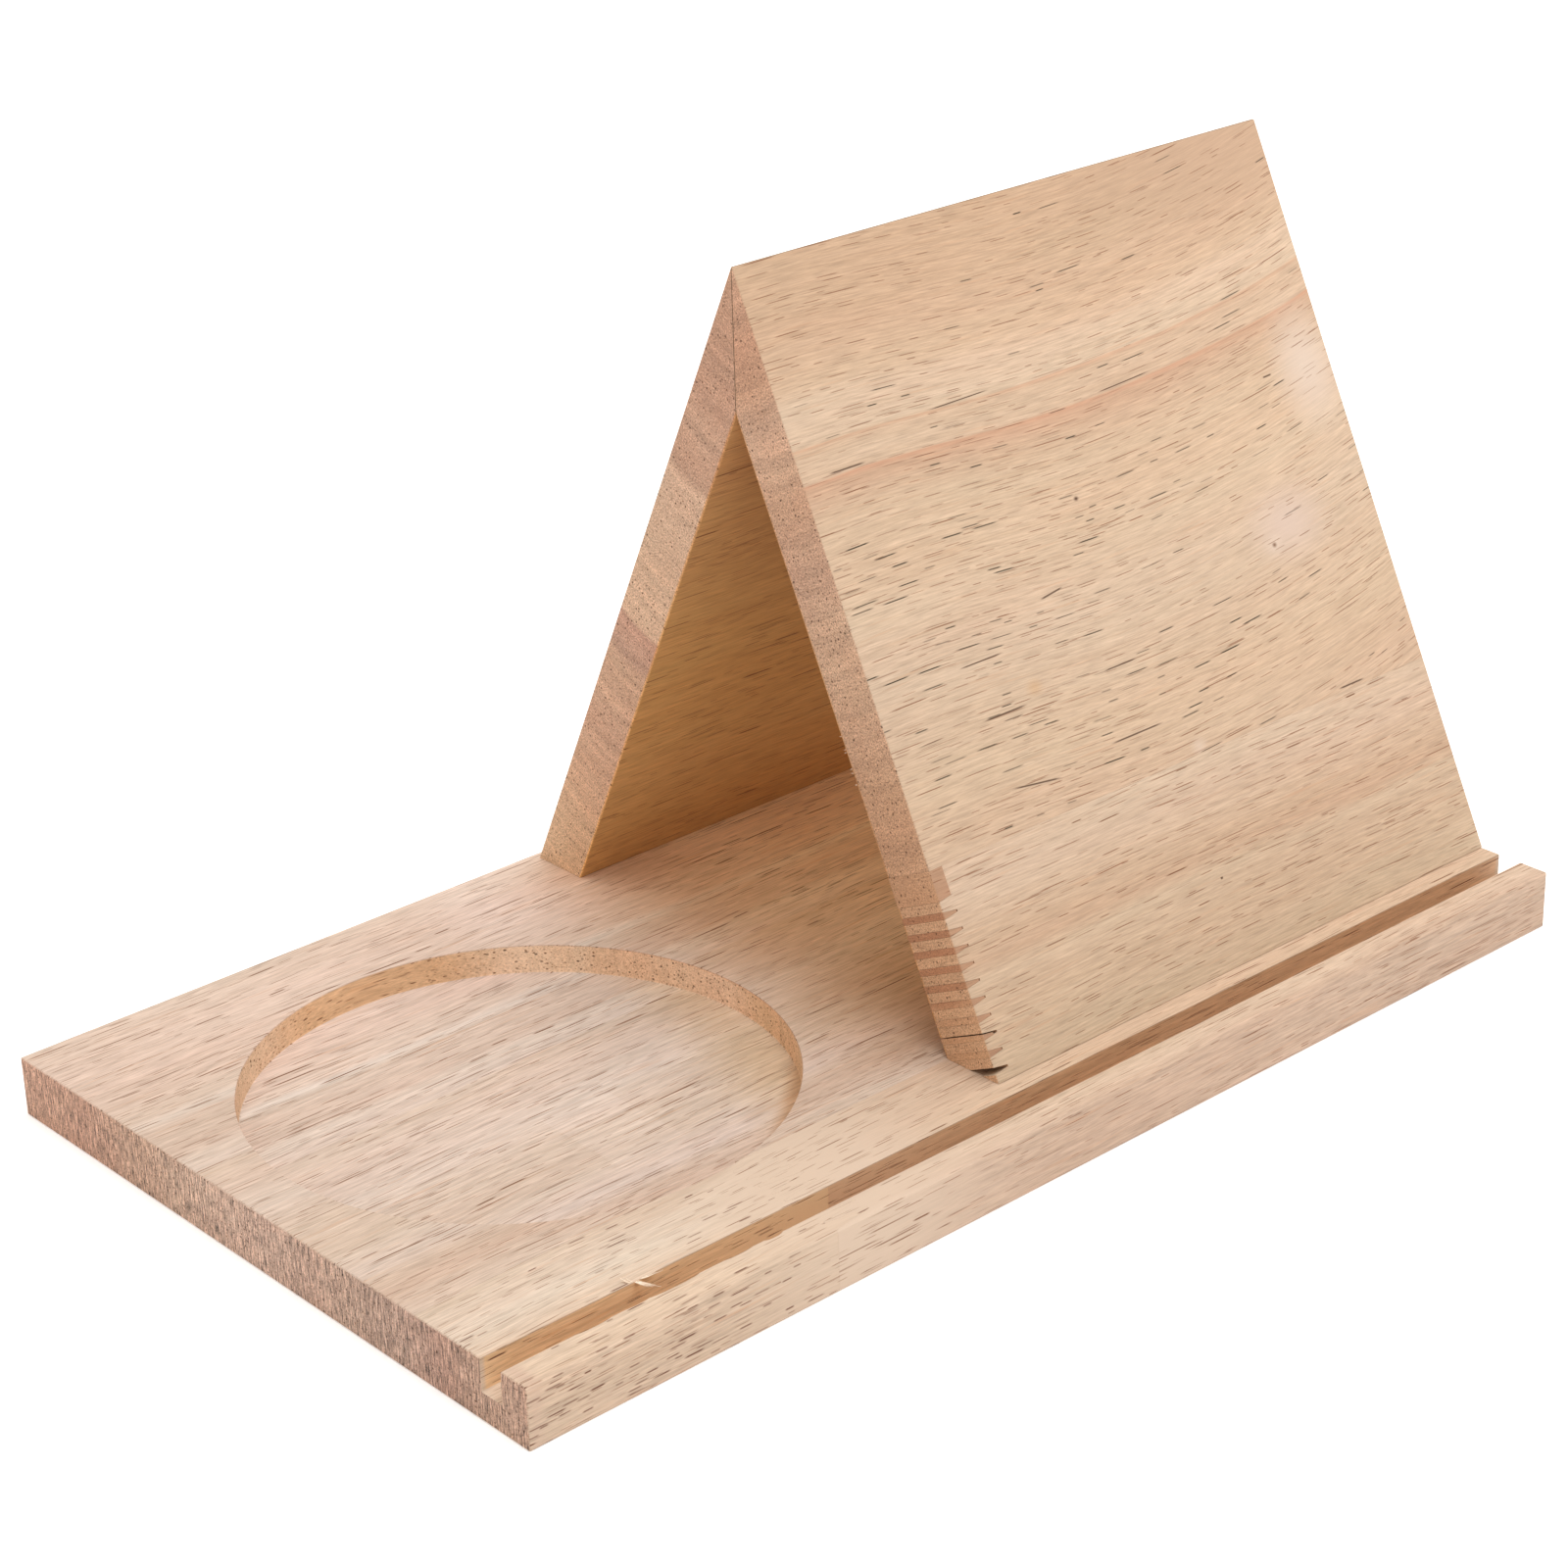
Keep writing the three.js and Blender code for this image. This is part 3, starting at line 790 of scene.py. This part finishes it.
LONG_BOARD = {
    **BASE_BOARD,
    "bands": LONG_BANDS,
    "middle": 0.85,
    "coarse": 0.5,
    "marks": None,
    "patches": [(74.0, 154.0, 75.0, 60.0, (227, 202, 180), 0.95), JOINT_PATCH],
    # Slot walls: a warm tint, partly the cut wood's own colour and partly painted warm shade.
    "tints": [(hollow_walls, (1.1, 0.92, 0.74))],
}

PANEL_BOARD = {
    "length": REST_WIDTH,
    "light": FRONT_LIGHT,
    "end_light": SIDE_LIGHT,
    "fibre": 0.32,
    "end_fuzz": 0.2,
    "end_speck": 0.7,
    "growth": 0.24,
    "coarse_pore": WARM_BROWN,
}

FRONT_BOARD = {
    **PANEL_BOARD,
    "bands": FRONT_BANDS,
    "end_bands": FRONT_END_BANDS,
    "warp": lens_at_right,
    "wander": 0.4,
    "sway": 0.5,
    "crowd": left_crowd,
    "ring_lines": [(40.0, 0.25, 1.0, 0.3), (47.7, 0.3, 1.2, 0.35), (47.9, 0.6, 4.5, 0.2)],
    "fine": 0.9,
    "middle": 0.75,
    "coarse": 0.5,
    "coarse_pore": GREENISH,
    "coarse_kind": SHORT_PORE,
    "marks": [
        (26, 106.2, 14, 0.26, 0.0),
        (63, 105.8, 11, 0.24, 0.0),
        (28, 121.7, 15, 0.28, 0.13),
        (58, 121.1, 18, 0.28, 0.0),
        (130, 129.8, 9.5, 0.3, 0.0),
        (52, 86.4, 7.5, 0.3, -0.12),
        (7, 46.6, 11, 0.26, 0.0),
        (86, 48.4, 18, 0.2, -0.05),
        (38, 40.5, 19, 0.2, -0.01),
        (137, 57.2, 3.2, 0.3, -0.05),
        (24, 94, 14, 0.22, 0.0),
    ],
    "patches": [
        (140.0, 4.0, 70.0, 26.0, (200, 164, 136), 0.55),
        (152.0, 58.0, 15.0, 20.0, (236, 213, 196), 0.8),
        (131.0, 90.0, 18.0, 12.0, (229, 202, 186), 0.8),
        (124.6, 93.7, 4.5, 3.5, (236, 210, 190), 0.7),
        (124.6, 93.7, 1.1, 0.9, (128, 88, 60), 0.9),
        (71.0, 68.6, 1.1, 0.8, (84, 52, 32), 1.0),
        (43.0, 103.4, 3.5, 2.6, (214, 168, 120), 0.5),
        (83.5, 129.0, 3.5, 2.6, (236, 210, 190), 0.6),
    ],
    # Painted warm shade on the inner face.
    "tints": [(inner_face, (1.05, 0.9, 0.62))],
}

FOOT_BOARD = {
    **PANEL_BOARD,
    "bands": FOOT_BANDS,
    "end_bands": FOOT_END_BANDS,
    "fine": 0.85,
    "middle": 0.7,
    "coarse_kind": SHORT_PORE,
    "growth": 0.2,
    "end_speck": 0.6,
    "marks": [(77.4, 158.0, 0.9, 0.4, 0.0)],
    # Painted warm shade on the inner face.
    "tints": [(inner_face, (1.05, 0.9, 0.62))],
}

BACK_BOARD = {
    **PANEL_BOARD,
    "bands": BACK_BANDS,
    "end_bands": BACK_END_BANDS,
    "fine": 0.85,
    "middle": 0.6,
    # Painted warm shade on the inner face, and painted light from the base on its lower part.
    "tints": [(inner_face, (1.05, 0.8, 0.48)), (lower_inner_face_painted_light, (1.24, 1.36, 1.36))],
}

FINGER_BOARD = {
    "length": REST_WIDTH,
    "bands": [(130, (196, 152, 122)), (178, (192, 146, 116))],
    "end_bands": [
        (130, (190, 148, 118)),
        (136.5, (190, 148, 117)),
        (138, (170, 122, 93)),
        (158, (176, 128, 98)),
        (161, (197, 154, 122)),
        (178, (201, 160, 126)),
    ],
    "light": FRONT_LIGHT,
    "end_light": SIDE_LIGHT,
    "fine": 0.6,
    "coarse": 0.1,
}


def steel():
    """Yellow zinc plate with a slight cloudiness."""
    material, shader, place, _ = new_material("yellow zinc plate", metallic=1.0)
    cloud = noise(join(*(part / (2.0 * MM) for part in parts(place))), 3.0)
    colour = blend(0.5 + cloud * 0.4, linear((196, 176, 118)), linear((206, 196, 160)))
    finish(shader, colour, 0.34 + cloud * 0.06, cloud, 0.004 * MM)
    return material


# ---------- Dressing the frame's pieces ----------

WELD_DISTANCE = 0.002 * MM
SHARP_ANGLE = math.radians(28)


def dress(names, material):
    """Gives CAD nodes their finish, and lets their rounded edges shade smoothly."""
    for name in names:
        node = CAD[name]
        node.data.materials.clear()
        node.data.materials.append(material)
        node.data.polygons.foreach_set("use_smooth", np.ones(len(node.data.polygons), bool))
        weld = node.modifiers.new("weld", "WELD")
        weld.merge_threshold = WELD_DISTANCE
        split = node.modifiers.new("sharp edges", "EDGE_SPLIT")
        split.split_angle = SHARP_ANGLE


def named(start):
    """The CAD nodes whose names begin so."""
    return sorted(name for name in CAD if name.startswith(start))


BASE_WOOD = wood("base rubberwood", BASE_BOARD, base_grain, 1)
SHORT_WOOD = wood("base front short rubberwood", SHORT_BOARD, base_grain, 11)
LONG_WOOD = wood("base front long rubberwood", LONG_BOARD, base_grain, 11)
FRONT_WOOD = wood("front panel rubberwood", FRONT_BOARD, front_grain, 3)
FOOT_WOOD = wood("front panel foot rubberwood", FOOT_BOARD, front_grain, 5)
BACK_WOOD = wood("back panel rubberwood", BACK_BOARD, back_grain, 7)
FINGER_WOOD = wood("finger rubberwood", FINGER_BOARD, front_grain, 9)

dress(["base_second_stave", "base_third_stave", "base_back_stave"], BASE_WOOD)
dress(["base_front_stave_short"], SHORT_WOOD)
dress(["base_front_stave_long"], LONG_WOOD)
dress(["front_panel_ridge_stave", "front_panel_upper_stave", "front_panel_lower_stave"], FRONT_WOOD)
dress(["front_panel_foot_stave"], FOOT_WOOD)
dress(named("back_panel"), BACK_WOOD)
dress(named("finger_sliver"), FINGER_WOOD)
dress(sorted(name for name in CAD if name.endswith("screw")), steel())


# ---------- Glue lines ----------

GAP = 0.05  # between two staves
INSET = 0.02  # how far a glue film lies below the wood's surface
FILM = GAP - 0.006  # a film's thickness


def outward(points, faces):
    """The faces turned so that the closed surface they make has its volume inside it."""
    volume = 0.0
    for face in faces:
        corner = points[list(face)]
        volume += np.einsum("i,ji->", corner[0], np.cross(corner[1:-1], corner[2:]))
    return faces if volume > 0 else [list(face)[::-1] for face in faces]


def piece(name, points, faces, material):
    """A finished mesh piece from points in millimetres, which moves with the stand."""
    points = np.asarray(points, float)
    mesh = bpy.data.meshes.new(name)
    mesh.from_pydata((points * MM).tolist(), [], outward(points, faces))
    mesh.materials.append(material)
    made = bpy.data.objects.new(name, mesh)
    bpy.context.scene.collection.objects.link(made)
    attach(made, "root")
    return made


def eased(corners):
    """An outline through (a, b, ease) corners, each rounded by a parabola over ease on both sides."""
    corner = np.array([c[:2] for c in corners], float)
    ease = np.array([c[2] for c in corners], float)[:, None]
    back = np.roll(corner, 1, 0) - corner
    onward = np.roll(corner, -1, 0) - corner
    start = corner + back / np.linalg.norm(back, axis=1, keepdims=True) * ease
    stop = corner + onward / np.linalg.norm(onward, axis=1, keepdims=True) * ease
    t = np.linspace(0.0, 1.0, 4)[None, :, None]
    curve = start[:, None] * (1 - t) ** 2 + corner[:, None] * 2 * t * (1 - t) + stop[:, None] * t ** 2
    return curve.reshape(-1, 2)


def glue_film(name, outline, place, material, thick=FILM):
    """A thin sheet: an outline of points (a, b), drawn out by half its thickness to both sides."""
    count = len(outline)
    low = np.column_stack([outline, np.full(count, -thick / 2)])
    high = low + [0.0, 0.0, thick]
    ring = np.arange(count)
    beside = np.roll(ring, -1)
    sides = np.stack([ring, beside, beside + count, ring + count], 1).tolist()
    faces = sides + [(ring + count).tolist(), ring[::-1].tolist()]
    return piece(name, place(np.vstack([low, high])), faces, material)


EDGE_EASE = 0.6  # the rounding of the base's edges
PANEL_EASE = 0.4  # that of the panels' ends
LIP_EASE = 1.1  # that of the base's front upper edge
BEVEL = 0.25  # at the rims of the recess and the slot
RIM_ROOM = 0.3  # a film stays this far outside the recess's rim
X_ENDS = (LEFT_END / MM + INSET, RIGHT_END / MM - INSET)
BOARD_FACES = (INSET, BOARD - INSET)


def without_doubles(outline):
    """The outline without points that repeat the one before."""
    step = np.linalg.norm(outline - np.roll(outline, 1, 0), axis=1)
    return outline[step > 1e-6]


def chord(y, radius):
    """Half the width that the recess has at y."""
    return math.sqrt(max(radius ** 2 - (y - RECESS_Y / MM) ** 2, 0.0))


def base_film(name, y, material):
    """The glue line at y: the board's long section, notched where the recess crosses it."""
    radius, floor, middle = RECESS_RADIUS / MM, RECESS_FLOOR / MM, RECESS_X / MM
    rim, wall = chord(y, radius + RIM_ROOM), chord(y, radius + INSET)
    (left, right), (bottom, top) = X_ENDS, BOARD_FACES
    notch = [
        (middle + rim, top, 0.0),
        (middle + wall, top - BEVEL, 0.0),
        (middle + wall, floor - INSET, 0.0),
        (middle - wall, floor - INSET, 0.0),
        (middle - wall, top - BEVEL, 0.0),
        (middle - rim, top, 0.0),
    ]
    corners = [(left, bottom, EDGE_EASE), (right, bottom, EDGE_EASE), (right, top, EDGE_EASE)]
    corners += notch + [(left, top, EDGE_EASE)]
    outline = without_doubles(eased(corners))
    return glue_film(name, outline, lambda p: np.stack([p[:, 0], p[:, 2] + y, p[:, 1]], 1), material)


def on_panel(x, down, deep, side):
    """Points of a leaning panel: x, the distance down from the ridge and that in from the outer face."""
    lean_sin, lean_cos = math.sin(LEAN), math.cos(LEAN)
    y = RIDGE_Y / MM + side * (down * lean_sin - deep * lean_cos)
    z = RIDGE_Z / MM - down * lean_cos - deep * lean_sin
    return np.stack([x, y, z], 1)


def panel_film(name, level, side, material):
    """The glue line at a distance from the ridge, across a panel that leans to that side (-1 or 1)."""
    left, right = REST_LEFT / MM + INSET, REST_RIGHT / MM - INSET
    near, far = INSET, BOARD - INSET
    corners = [(a, b, PANEL_EASE) for a, b in ((left, near), (right, near), (right, far), (left, far))]

    def place(p):
        return on_panel(p[:, 0], level + p[:, 2], p[:, 1], side)

    return glue_film(name, eased(corners), place, material)


def shoulder_film(name, level, material):
    """The glue at the blunt shoulder above the front panel's finger joint, as a slab across the panel."""
    high, low = level + GAP, level + SHOULDER - GAP
    near, far = INSET, BOARD - INSET
    corners = [(a, b, INSET) for a, b in ((high, near), (low, near), (low, far), (high, far))]
    middle = REST_LEFT / MM + SLIVER + FINGER_ROOM / 2

    def place(p):
        return on_panel(middle + p[:, 2], p[:, 0], p[:, 1], -1)

    return glue_film(name, eased(corners), place, material, FINGER_ROOM - 2 * SIDE_ROOM)


def tube_faces(rings, sides, first=0):
    """Faces of a tube through rings of corners, counted on from first, with both ends capped."""
    step = np.arange(rings - 1)[:, None] * sides + first
    corner = np.arange(sides)[None, :]
    after = (corner + 1) % sides
    quads = np.stack([step + corner, step + after, step + after + sides, step + corner + sides], 2)
    start, stop = first + corner[0][::-1], first + (rings - 1) * sides + corner[0]
    return quads.reshape(-1, 4).tolist() + [start.tolist(), stop.tolist()]


FINGER_PITCH = 3.8
FINGER_REACH = 5.0  # to each side of the joint's middle
FINGER_TIP = 0.5  # blunt end of a finger
FINGER_ROOM = 0.3  # between the two staves, along the grain
SLIVER = 3.6  # what is left of the fingers at the front panel's left end
SHOULDER = 6.3  # height of the uppermost sliver at its blunt end
SIDE_ROOM = 0.004  # between the glue and the staves, along the grain
STEEP = 1e-3  # the width of an upright step


def finger_film(name, middle, material):
    """The glue in the front stave's finger joint.

    Seen from above it is a zigzag: x is a trapezium wave of y, level for a finger's tip and sloping
    between tips. Its height at each y is that of the board there, so it dips below the slot.
    """
    front, line = FRONT_EDGE / MM, FIRST_BASE_LINE
    slot_front, slot_back = SLOT_FRONT / MM, SLOT_BACK / MM
    slot_floor = SLOT_FLOOR / MM
    tips = np.arange(front - FINGER_PITCH, line + FINGER_PITCH, FINGER_PITCH / 2)
    knots = np.stack([tips, tips + FINGER_TIP], 1).ravel()
    wave = np.repeat(np.where(np.arange(len(tips)) % 2, FINGER_REACH, -FINGER_REACH), 2)
    third = np.linspace(0.0, 1.0, 4) ** 2
    top = np.array([*zip(front + LIP_EASE * third, BOARD - LIP_EASE * third[::-1])])
    bottom = np.array([*zip(front + EDGE_EASE * third, EDGE_EASE * third[::-1])])
    slot = [slot_front - BEVEL, slot_front, slot_front + STEEP]
    slot += [slot_back, slot_back + STEEP, slot_back + BEVEL]
    height = [BOARD, BOARD - BEVEL, slot_floor, slot_floor, BOARD - BEVEL, BOARD]
    inside = knots[(knots > front + LIP_EASE) & (knots < line - GAP)]
    y = np.unique(np.concatenate([top[:, 0], bottom[:, 0], slot, inside, [line - GAP]]))
    x = middle + np.interp(y, knots, wave)
    high = np.interp(y, [*top[:, 0], *slot], [*top[:, 1], *height]) - INSET
    low = np.interp(y, bottom[:, 0], bottom[:, 1]) + INSET
    left, right = x + SIDE_ROOM, x + FINGER_ROOM - SIDE_ROOM
    y = np.maximum(y, front + INSET)
    sections = [(left, y, low), (right, y, low), (right, y, high), (left, y, high)]
    points = np.array(sections).transpose(2, 0, 1).reshape(-1, 3)
    return piece(name, points, tube_faces(len(y), 4), material)


STAVE = 46.5  # width of a stave
FRONT_LINE = 37.7  # the panels' uppermost glue lines, down from the ridge
BACK_LINE = 47.5
JOINT_ENDS = (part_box("base_front_stave_short")[1][0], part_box("base_front_stave_long")[0][0])
JOINT_X = sum(JOINT_ENDS) / 2 / MM - FINGER_ROOM / 2
FIRST_BASE_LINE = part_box("base_second_stave")[0][1] / MM - GAP / 2
for step in range(3):
    base_film(f"glue_line_base_{step + 1}", FIRST_BASE_LINE + step * STAVE, BASE_WOOD)
    panel_film(f"glue_line_front_panel_{step + 1}", FRONT_LINE + step * STAVE, -1, FRONT_WOOD)
    panel_film(f"glue_line_back_panel_{step + 1}", BACK_LINE + step * STAVE, 1, BACK_WOOD)
finger_film("glue_line_finger_joint", JOINT_X, SHORT_WOOD)
shoulder_film("glue_line_finger_shoulder", FRONT_LINE + 2 * STAVE, FOOT_WOOD)


# ---------- Torn fibres ----------

def strands(name, routes, radius, material):
    """Torn fibres, each a thin tube along a parabola from its root past a bend to its tip.

    Its radius falls with the square root of what is left of its length, so it ends in a point.
    """
    steps, sides = 9, 5
    u = np.linspace(0.0, 1.0, steps)
    angle = np.arange(sides) * 2 * np.pi / sides
    points, faces = [], []
    for root, bend, tip in np.asarray(routes, float):
        line = np.outer((1 - u) ** 2, root) + np.outer(2 * u * (1 - u), bend) + np.outer(u ** 2, tip)
        way = np.gradient(line, axis=0)
        way /= np.linalg.norm(way, axis=1, keepdims=True)
        across = np.cross(way, (0.31, 0.17, 0.93))
        across /= np.linalg.norm(across, axis=1, keepdims=True)
        upward = np.cross(way, across)
        reach = (radius * np.sqrt(1 - u * 0.96))[:, None, None]
        ring = across[:, None] * np.cos(angle)[:, None] + upward[:, None] * np.sin(angle)[:, None]
        faces += tube_faces(steps, sides, len(points) * steps * sides)
        points.append((line[:, None] + ring * reach).reshape(-1, 3))
    return piece(name, np.vstack(points), faces, material)


def fibre_material():
    """Pale bare fibre, a little darker in places."""
    material, shader, place, _ = new_material("torn fibre")
    cloud = noise(join(*(part / (0.8 * MM) for part in parts(place))), 2.0)
    colour = blend(0.5 + cloud * 0.5, linear((222, 198, 174)), linear((246, 232, 214)))
    finish(shader, colour, 0.8)
    return material


def tuft(root, reach, lift, count, seed, loose=0.5):
    """Routes of a few fibres that leave one place along reach and curl up by lift, spread at random."""
    spread = np.random.default_rng(seed)
    start = np.asarray(root) + spread.normal(0.0, loose / 2, (count, 3)) * (1.0, 0.3, 0.0)
    share = spread.uniform(0.5, 1.0, (count, 1))
    turn = spread.normal(0.0, loose, (count, 3)) * (1.0, 0.4, 0.3)
    bend = start + np.asarray(reach) * share * 0.5 + turn * 0.5 + np.asarray(lift) * share * 0.2
    tip = start + np.asarray(reach) * share + turn + np.asarray(lift) * share
    return np.stack([start, bend, tip], 1)


def on_inner_edge(z):
    """The point at height z on the front panel's inner edge, in y and z."""
    down = (RIDGE_Z / MM - z - BOARD * math.sin(LEAN)) / math.cos(LEAN)
    return RIDGE_Y / MM - down * math.sin(LEAN) + BOARD * math.cos(LEAN), z


TEAR_X = -112.5  # where the slot's back edge is torn
SLOT_EDGE = SLOT_BACK / MM
SPLINTERS = [
    tuft((TEAR_X, SLOT_EDGE + 0.3, BOARD - 0.3), (1.6, -5.6, 0.0), (0.0, 0.0, 0.6), 8, 4),
    tuft((TEAR_X + 1.7, SLOT_EDGE + 0.2, BOARD - 0.2), (3.4, -2.2, 0.0), (0.0, 0.0, 1.6), 5, 8),
    tuft((TEAR_X - 1.0, SLOT_EDGE + 0.2, BOARD - 0.1), (-1.5, 1.5, 0.0), (0.0, 0.0, 1.2), 4, 5),
]
SPLINTER_RADIUS = 0.11
strands("slot_splinters", np.vstack(SPLINTERS), SPLINTER_RADIUS, fibre_material())

FUZZ_HEIGHTS = (69.0, 71.3, 72.1, 75.4, 76.0, 78.6)
FUZZ_X = REST_LEFT / MM + 0.1
FUZZ = [
    tuft((FUZZ_X, *on_inner_edge(z)), (-0.3, 0.2, 0.0), (0.0, 0.0, 0.1), 3, seed, 0.25)
    for seed, z in enumerate(FUZZ_HEIGHTS, 20)
]
FUZZ_RADIUS = 0.06
strands("panel_edge_splinters", np.vstack(FUZZ), FUZZ_RADIUS, fibre_material())


# ---------- Floor, light and camera ----------

FLOOR_RADIUS = 4.0  # metres, as all that follows
FLOOR_THICKNESS = 0.01
FLOOR_PALE = 0.93
FLOOR_GLOW = 0.25


def disc(radius, thickness, rings=12, spokes=72):
    """A wide disc: rings whose radius grows by a square from the middle, closed underneath."""
    grow = np.linspace(0.0, 1.0, rings)[1:] ** 2 * radius
    angle = np.arange(spokes) * 2 * np.pi / spokes
    x = (grow[:, None] * np.cos(angle)).ravel()
    y = (grow[:, None] * np.sin(angle)).ravel()
    top = np.stack([x, y, np.full_like(x, UNDERSIDE)], 1)
    rim = top[-spokes:] - [0.0, 0.0, thickness]
    middle = np.array([[0.0, 0.0, UNDERSIDE], [0.0, 0.0, UNDERSIDE - thickness]])
    points = np.vstack([top, rim, middle])
    centre = len(points) - 2
    faces = []
    for spoke in range(spokes):
        beside = (spoke + 1) % spokes
        faces.append((centre, spoke, beside))
        for ring in range(rings - 1):
            inner, outer = ring * spokes, (ring + 1) * spokes
            faces.append((inner + spoke, outer + spoke, outer + beside, inner + beside))
        last = (rings - 1) * spokes
        faces.append((centre + 1, last + beside, last + spoke))
    return points, faces


def make_floor():
    """A wide pale floor that lights up a little by itself, so that it shows as white."""
    points, faces = disc(FLOOR_RADIUS, FLOOR_THICKNESS)
    mesh = bpy.data.meshes.new("floor")
    mesh.from_pydata(points.tolist(), [], faces)
    floor = bpy.data.objects.new("floor", mesh)
    bpy.context.scene.collection.objects.link(floor)
    material, shader, _, _ = new_material("pale floor", specular=0.0)
    shader.inputs["Base Color"].default_value = (FLOOR_PALE, FLOOR_PALE, FLOOR_PALE, 1.0)
    shader.inputs["Roughness"].default_value = 1.0
    shader.inputs["Emission Color"].default_value = (1.0, 1.0, 1.0, 1.0)
    shader.inputs["Emission Strength"].default_value = FLOOR_GLOW
    mesh.materials.append(material)


def area_light(name, location, target, colour, size, power):
    """A square soft light that faces a point."""
    lamp = bpy.data.lights.new(name, "AREA")
    lamp.shape = "SQUARE"
    lamp.color = colour
    lamp.size = size
    lamp.energy = power
    light = bpy.data.objects.new(name, lamp)
    aim = np.subtract(target, location)
    aim = aim / np.linalg.norm(aim)
    side = np.cross(aim, (0.0, 1.0, 0.0))
    side = side / np.linalg.norm(side)
    facing = Matrix(np.stack([side, np.cross(side, aim), -aim], 1).tolist()).to_4x4()
    light.matrix_world = Matrix.Translation(location) @ facing
    bpy.context.scene.collection.objects.link(light)


CAMERA_PLACE = (-0.48101, -0.53895, 0.38995)
CAMERA_TURN = math.radians(41.34)  # from straight at the front, towards the left end
CAMERA_DIP = math.radians(24.715)  # down from level
CAMERA_ROLL = math.radians(-1.665)
SENSOR_WIDTH = 36.0  # this and the next in millimetres, as cameras are measured
FOCAL_LENGTH = 84.09


def make_camera():
    """A long lens at the front left, which looks down a little."""
    lens = bpy.data.cameras.new("camera")
    lens.sensor_width = SENSOR_WIDTH
    lens.lens = FOCAL_LENGTH
    camera = bpy.data.objects.new("camera", lens)
    turn = Matrix.Rotation(-CAMERA_TURN, 4, "Z") @ Matrix.Rotation(math.pi / 2 - CAMERA_DIP, 4, "X")
    stand_at = Matrix.Translation(CAMERA_PLACE)
    camera.matrix_world = stand_at @ turn @ Matrix.Rotation(CAMERA_ROLL, 4, "Z")
    bpy.context.scene.collection.objects.link(camera)
    bpy.context.scene.camera = camera


def make_world(colour, strength):
    """A dim warm fill from all sides, and a white backdrop for the camera."""
    world = bpy.data.worlds.new("studio")
    world.use_nodes = True
    tree = world.node_tree
    fill = tree.nodes["Background"]
    fill.inputs["Color"].default_value = (*colour, 1.0)
    fill.inputs["Strength"].default_value = strength
    backdrop = tree.nodes.new("ShaderNodeBackground")
    backdrop.inputs["Color"].default_value = (1.0, 1.0, 1.0, 1.0)
    rays = tree.nodes.new("ShaderNodeLightPath")
    either = tree.nodes.new("ShaderNodeMixShader")
    tree.links.new(rays.outputs["Is Camera Ray"], either.inputs[0])
    tree.links.new(fill.outputs[0], either.inputs[1])
    tree.links.new(backdrop.outputs[0], either.inputs[2])
    tree.links.new(either.outputs[0], tree.nodes["World Output"].inputs["Surface"])
    bpy.context.scene.world = world


make_camera()
make_floor()
make_world(colour=(1.0, 0.9, 0.79), strength=0.7)
area_light(
    "softbox",
    location=(0.05, -0.4, 1.5),
    target=(0.0, 0.0, 0.05),
    colour=(0.86, 0.94, 1.0),
    size=1.4,
    power=25.0,
)
area_light(
    "window",
    location=(1.0, -0.1, 0.45),
    target=(0.1, 0.03, 0.05),
    colour=(1.0, 0.88, 0.76),
    size=0.5,
    power=3.0,
)
bpy.context.scene.view_settings.view_transform = "Standard"
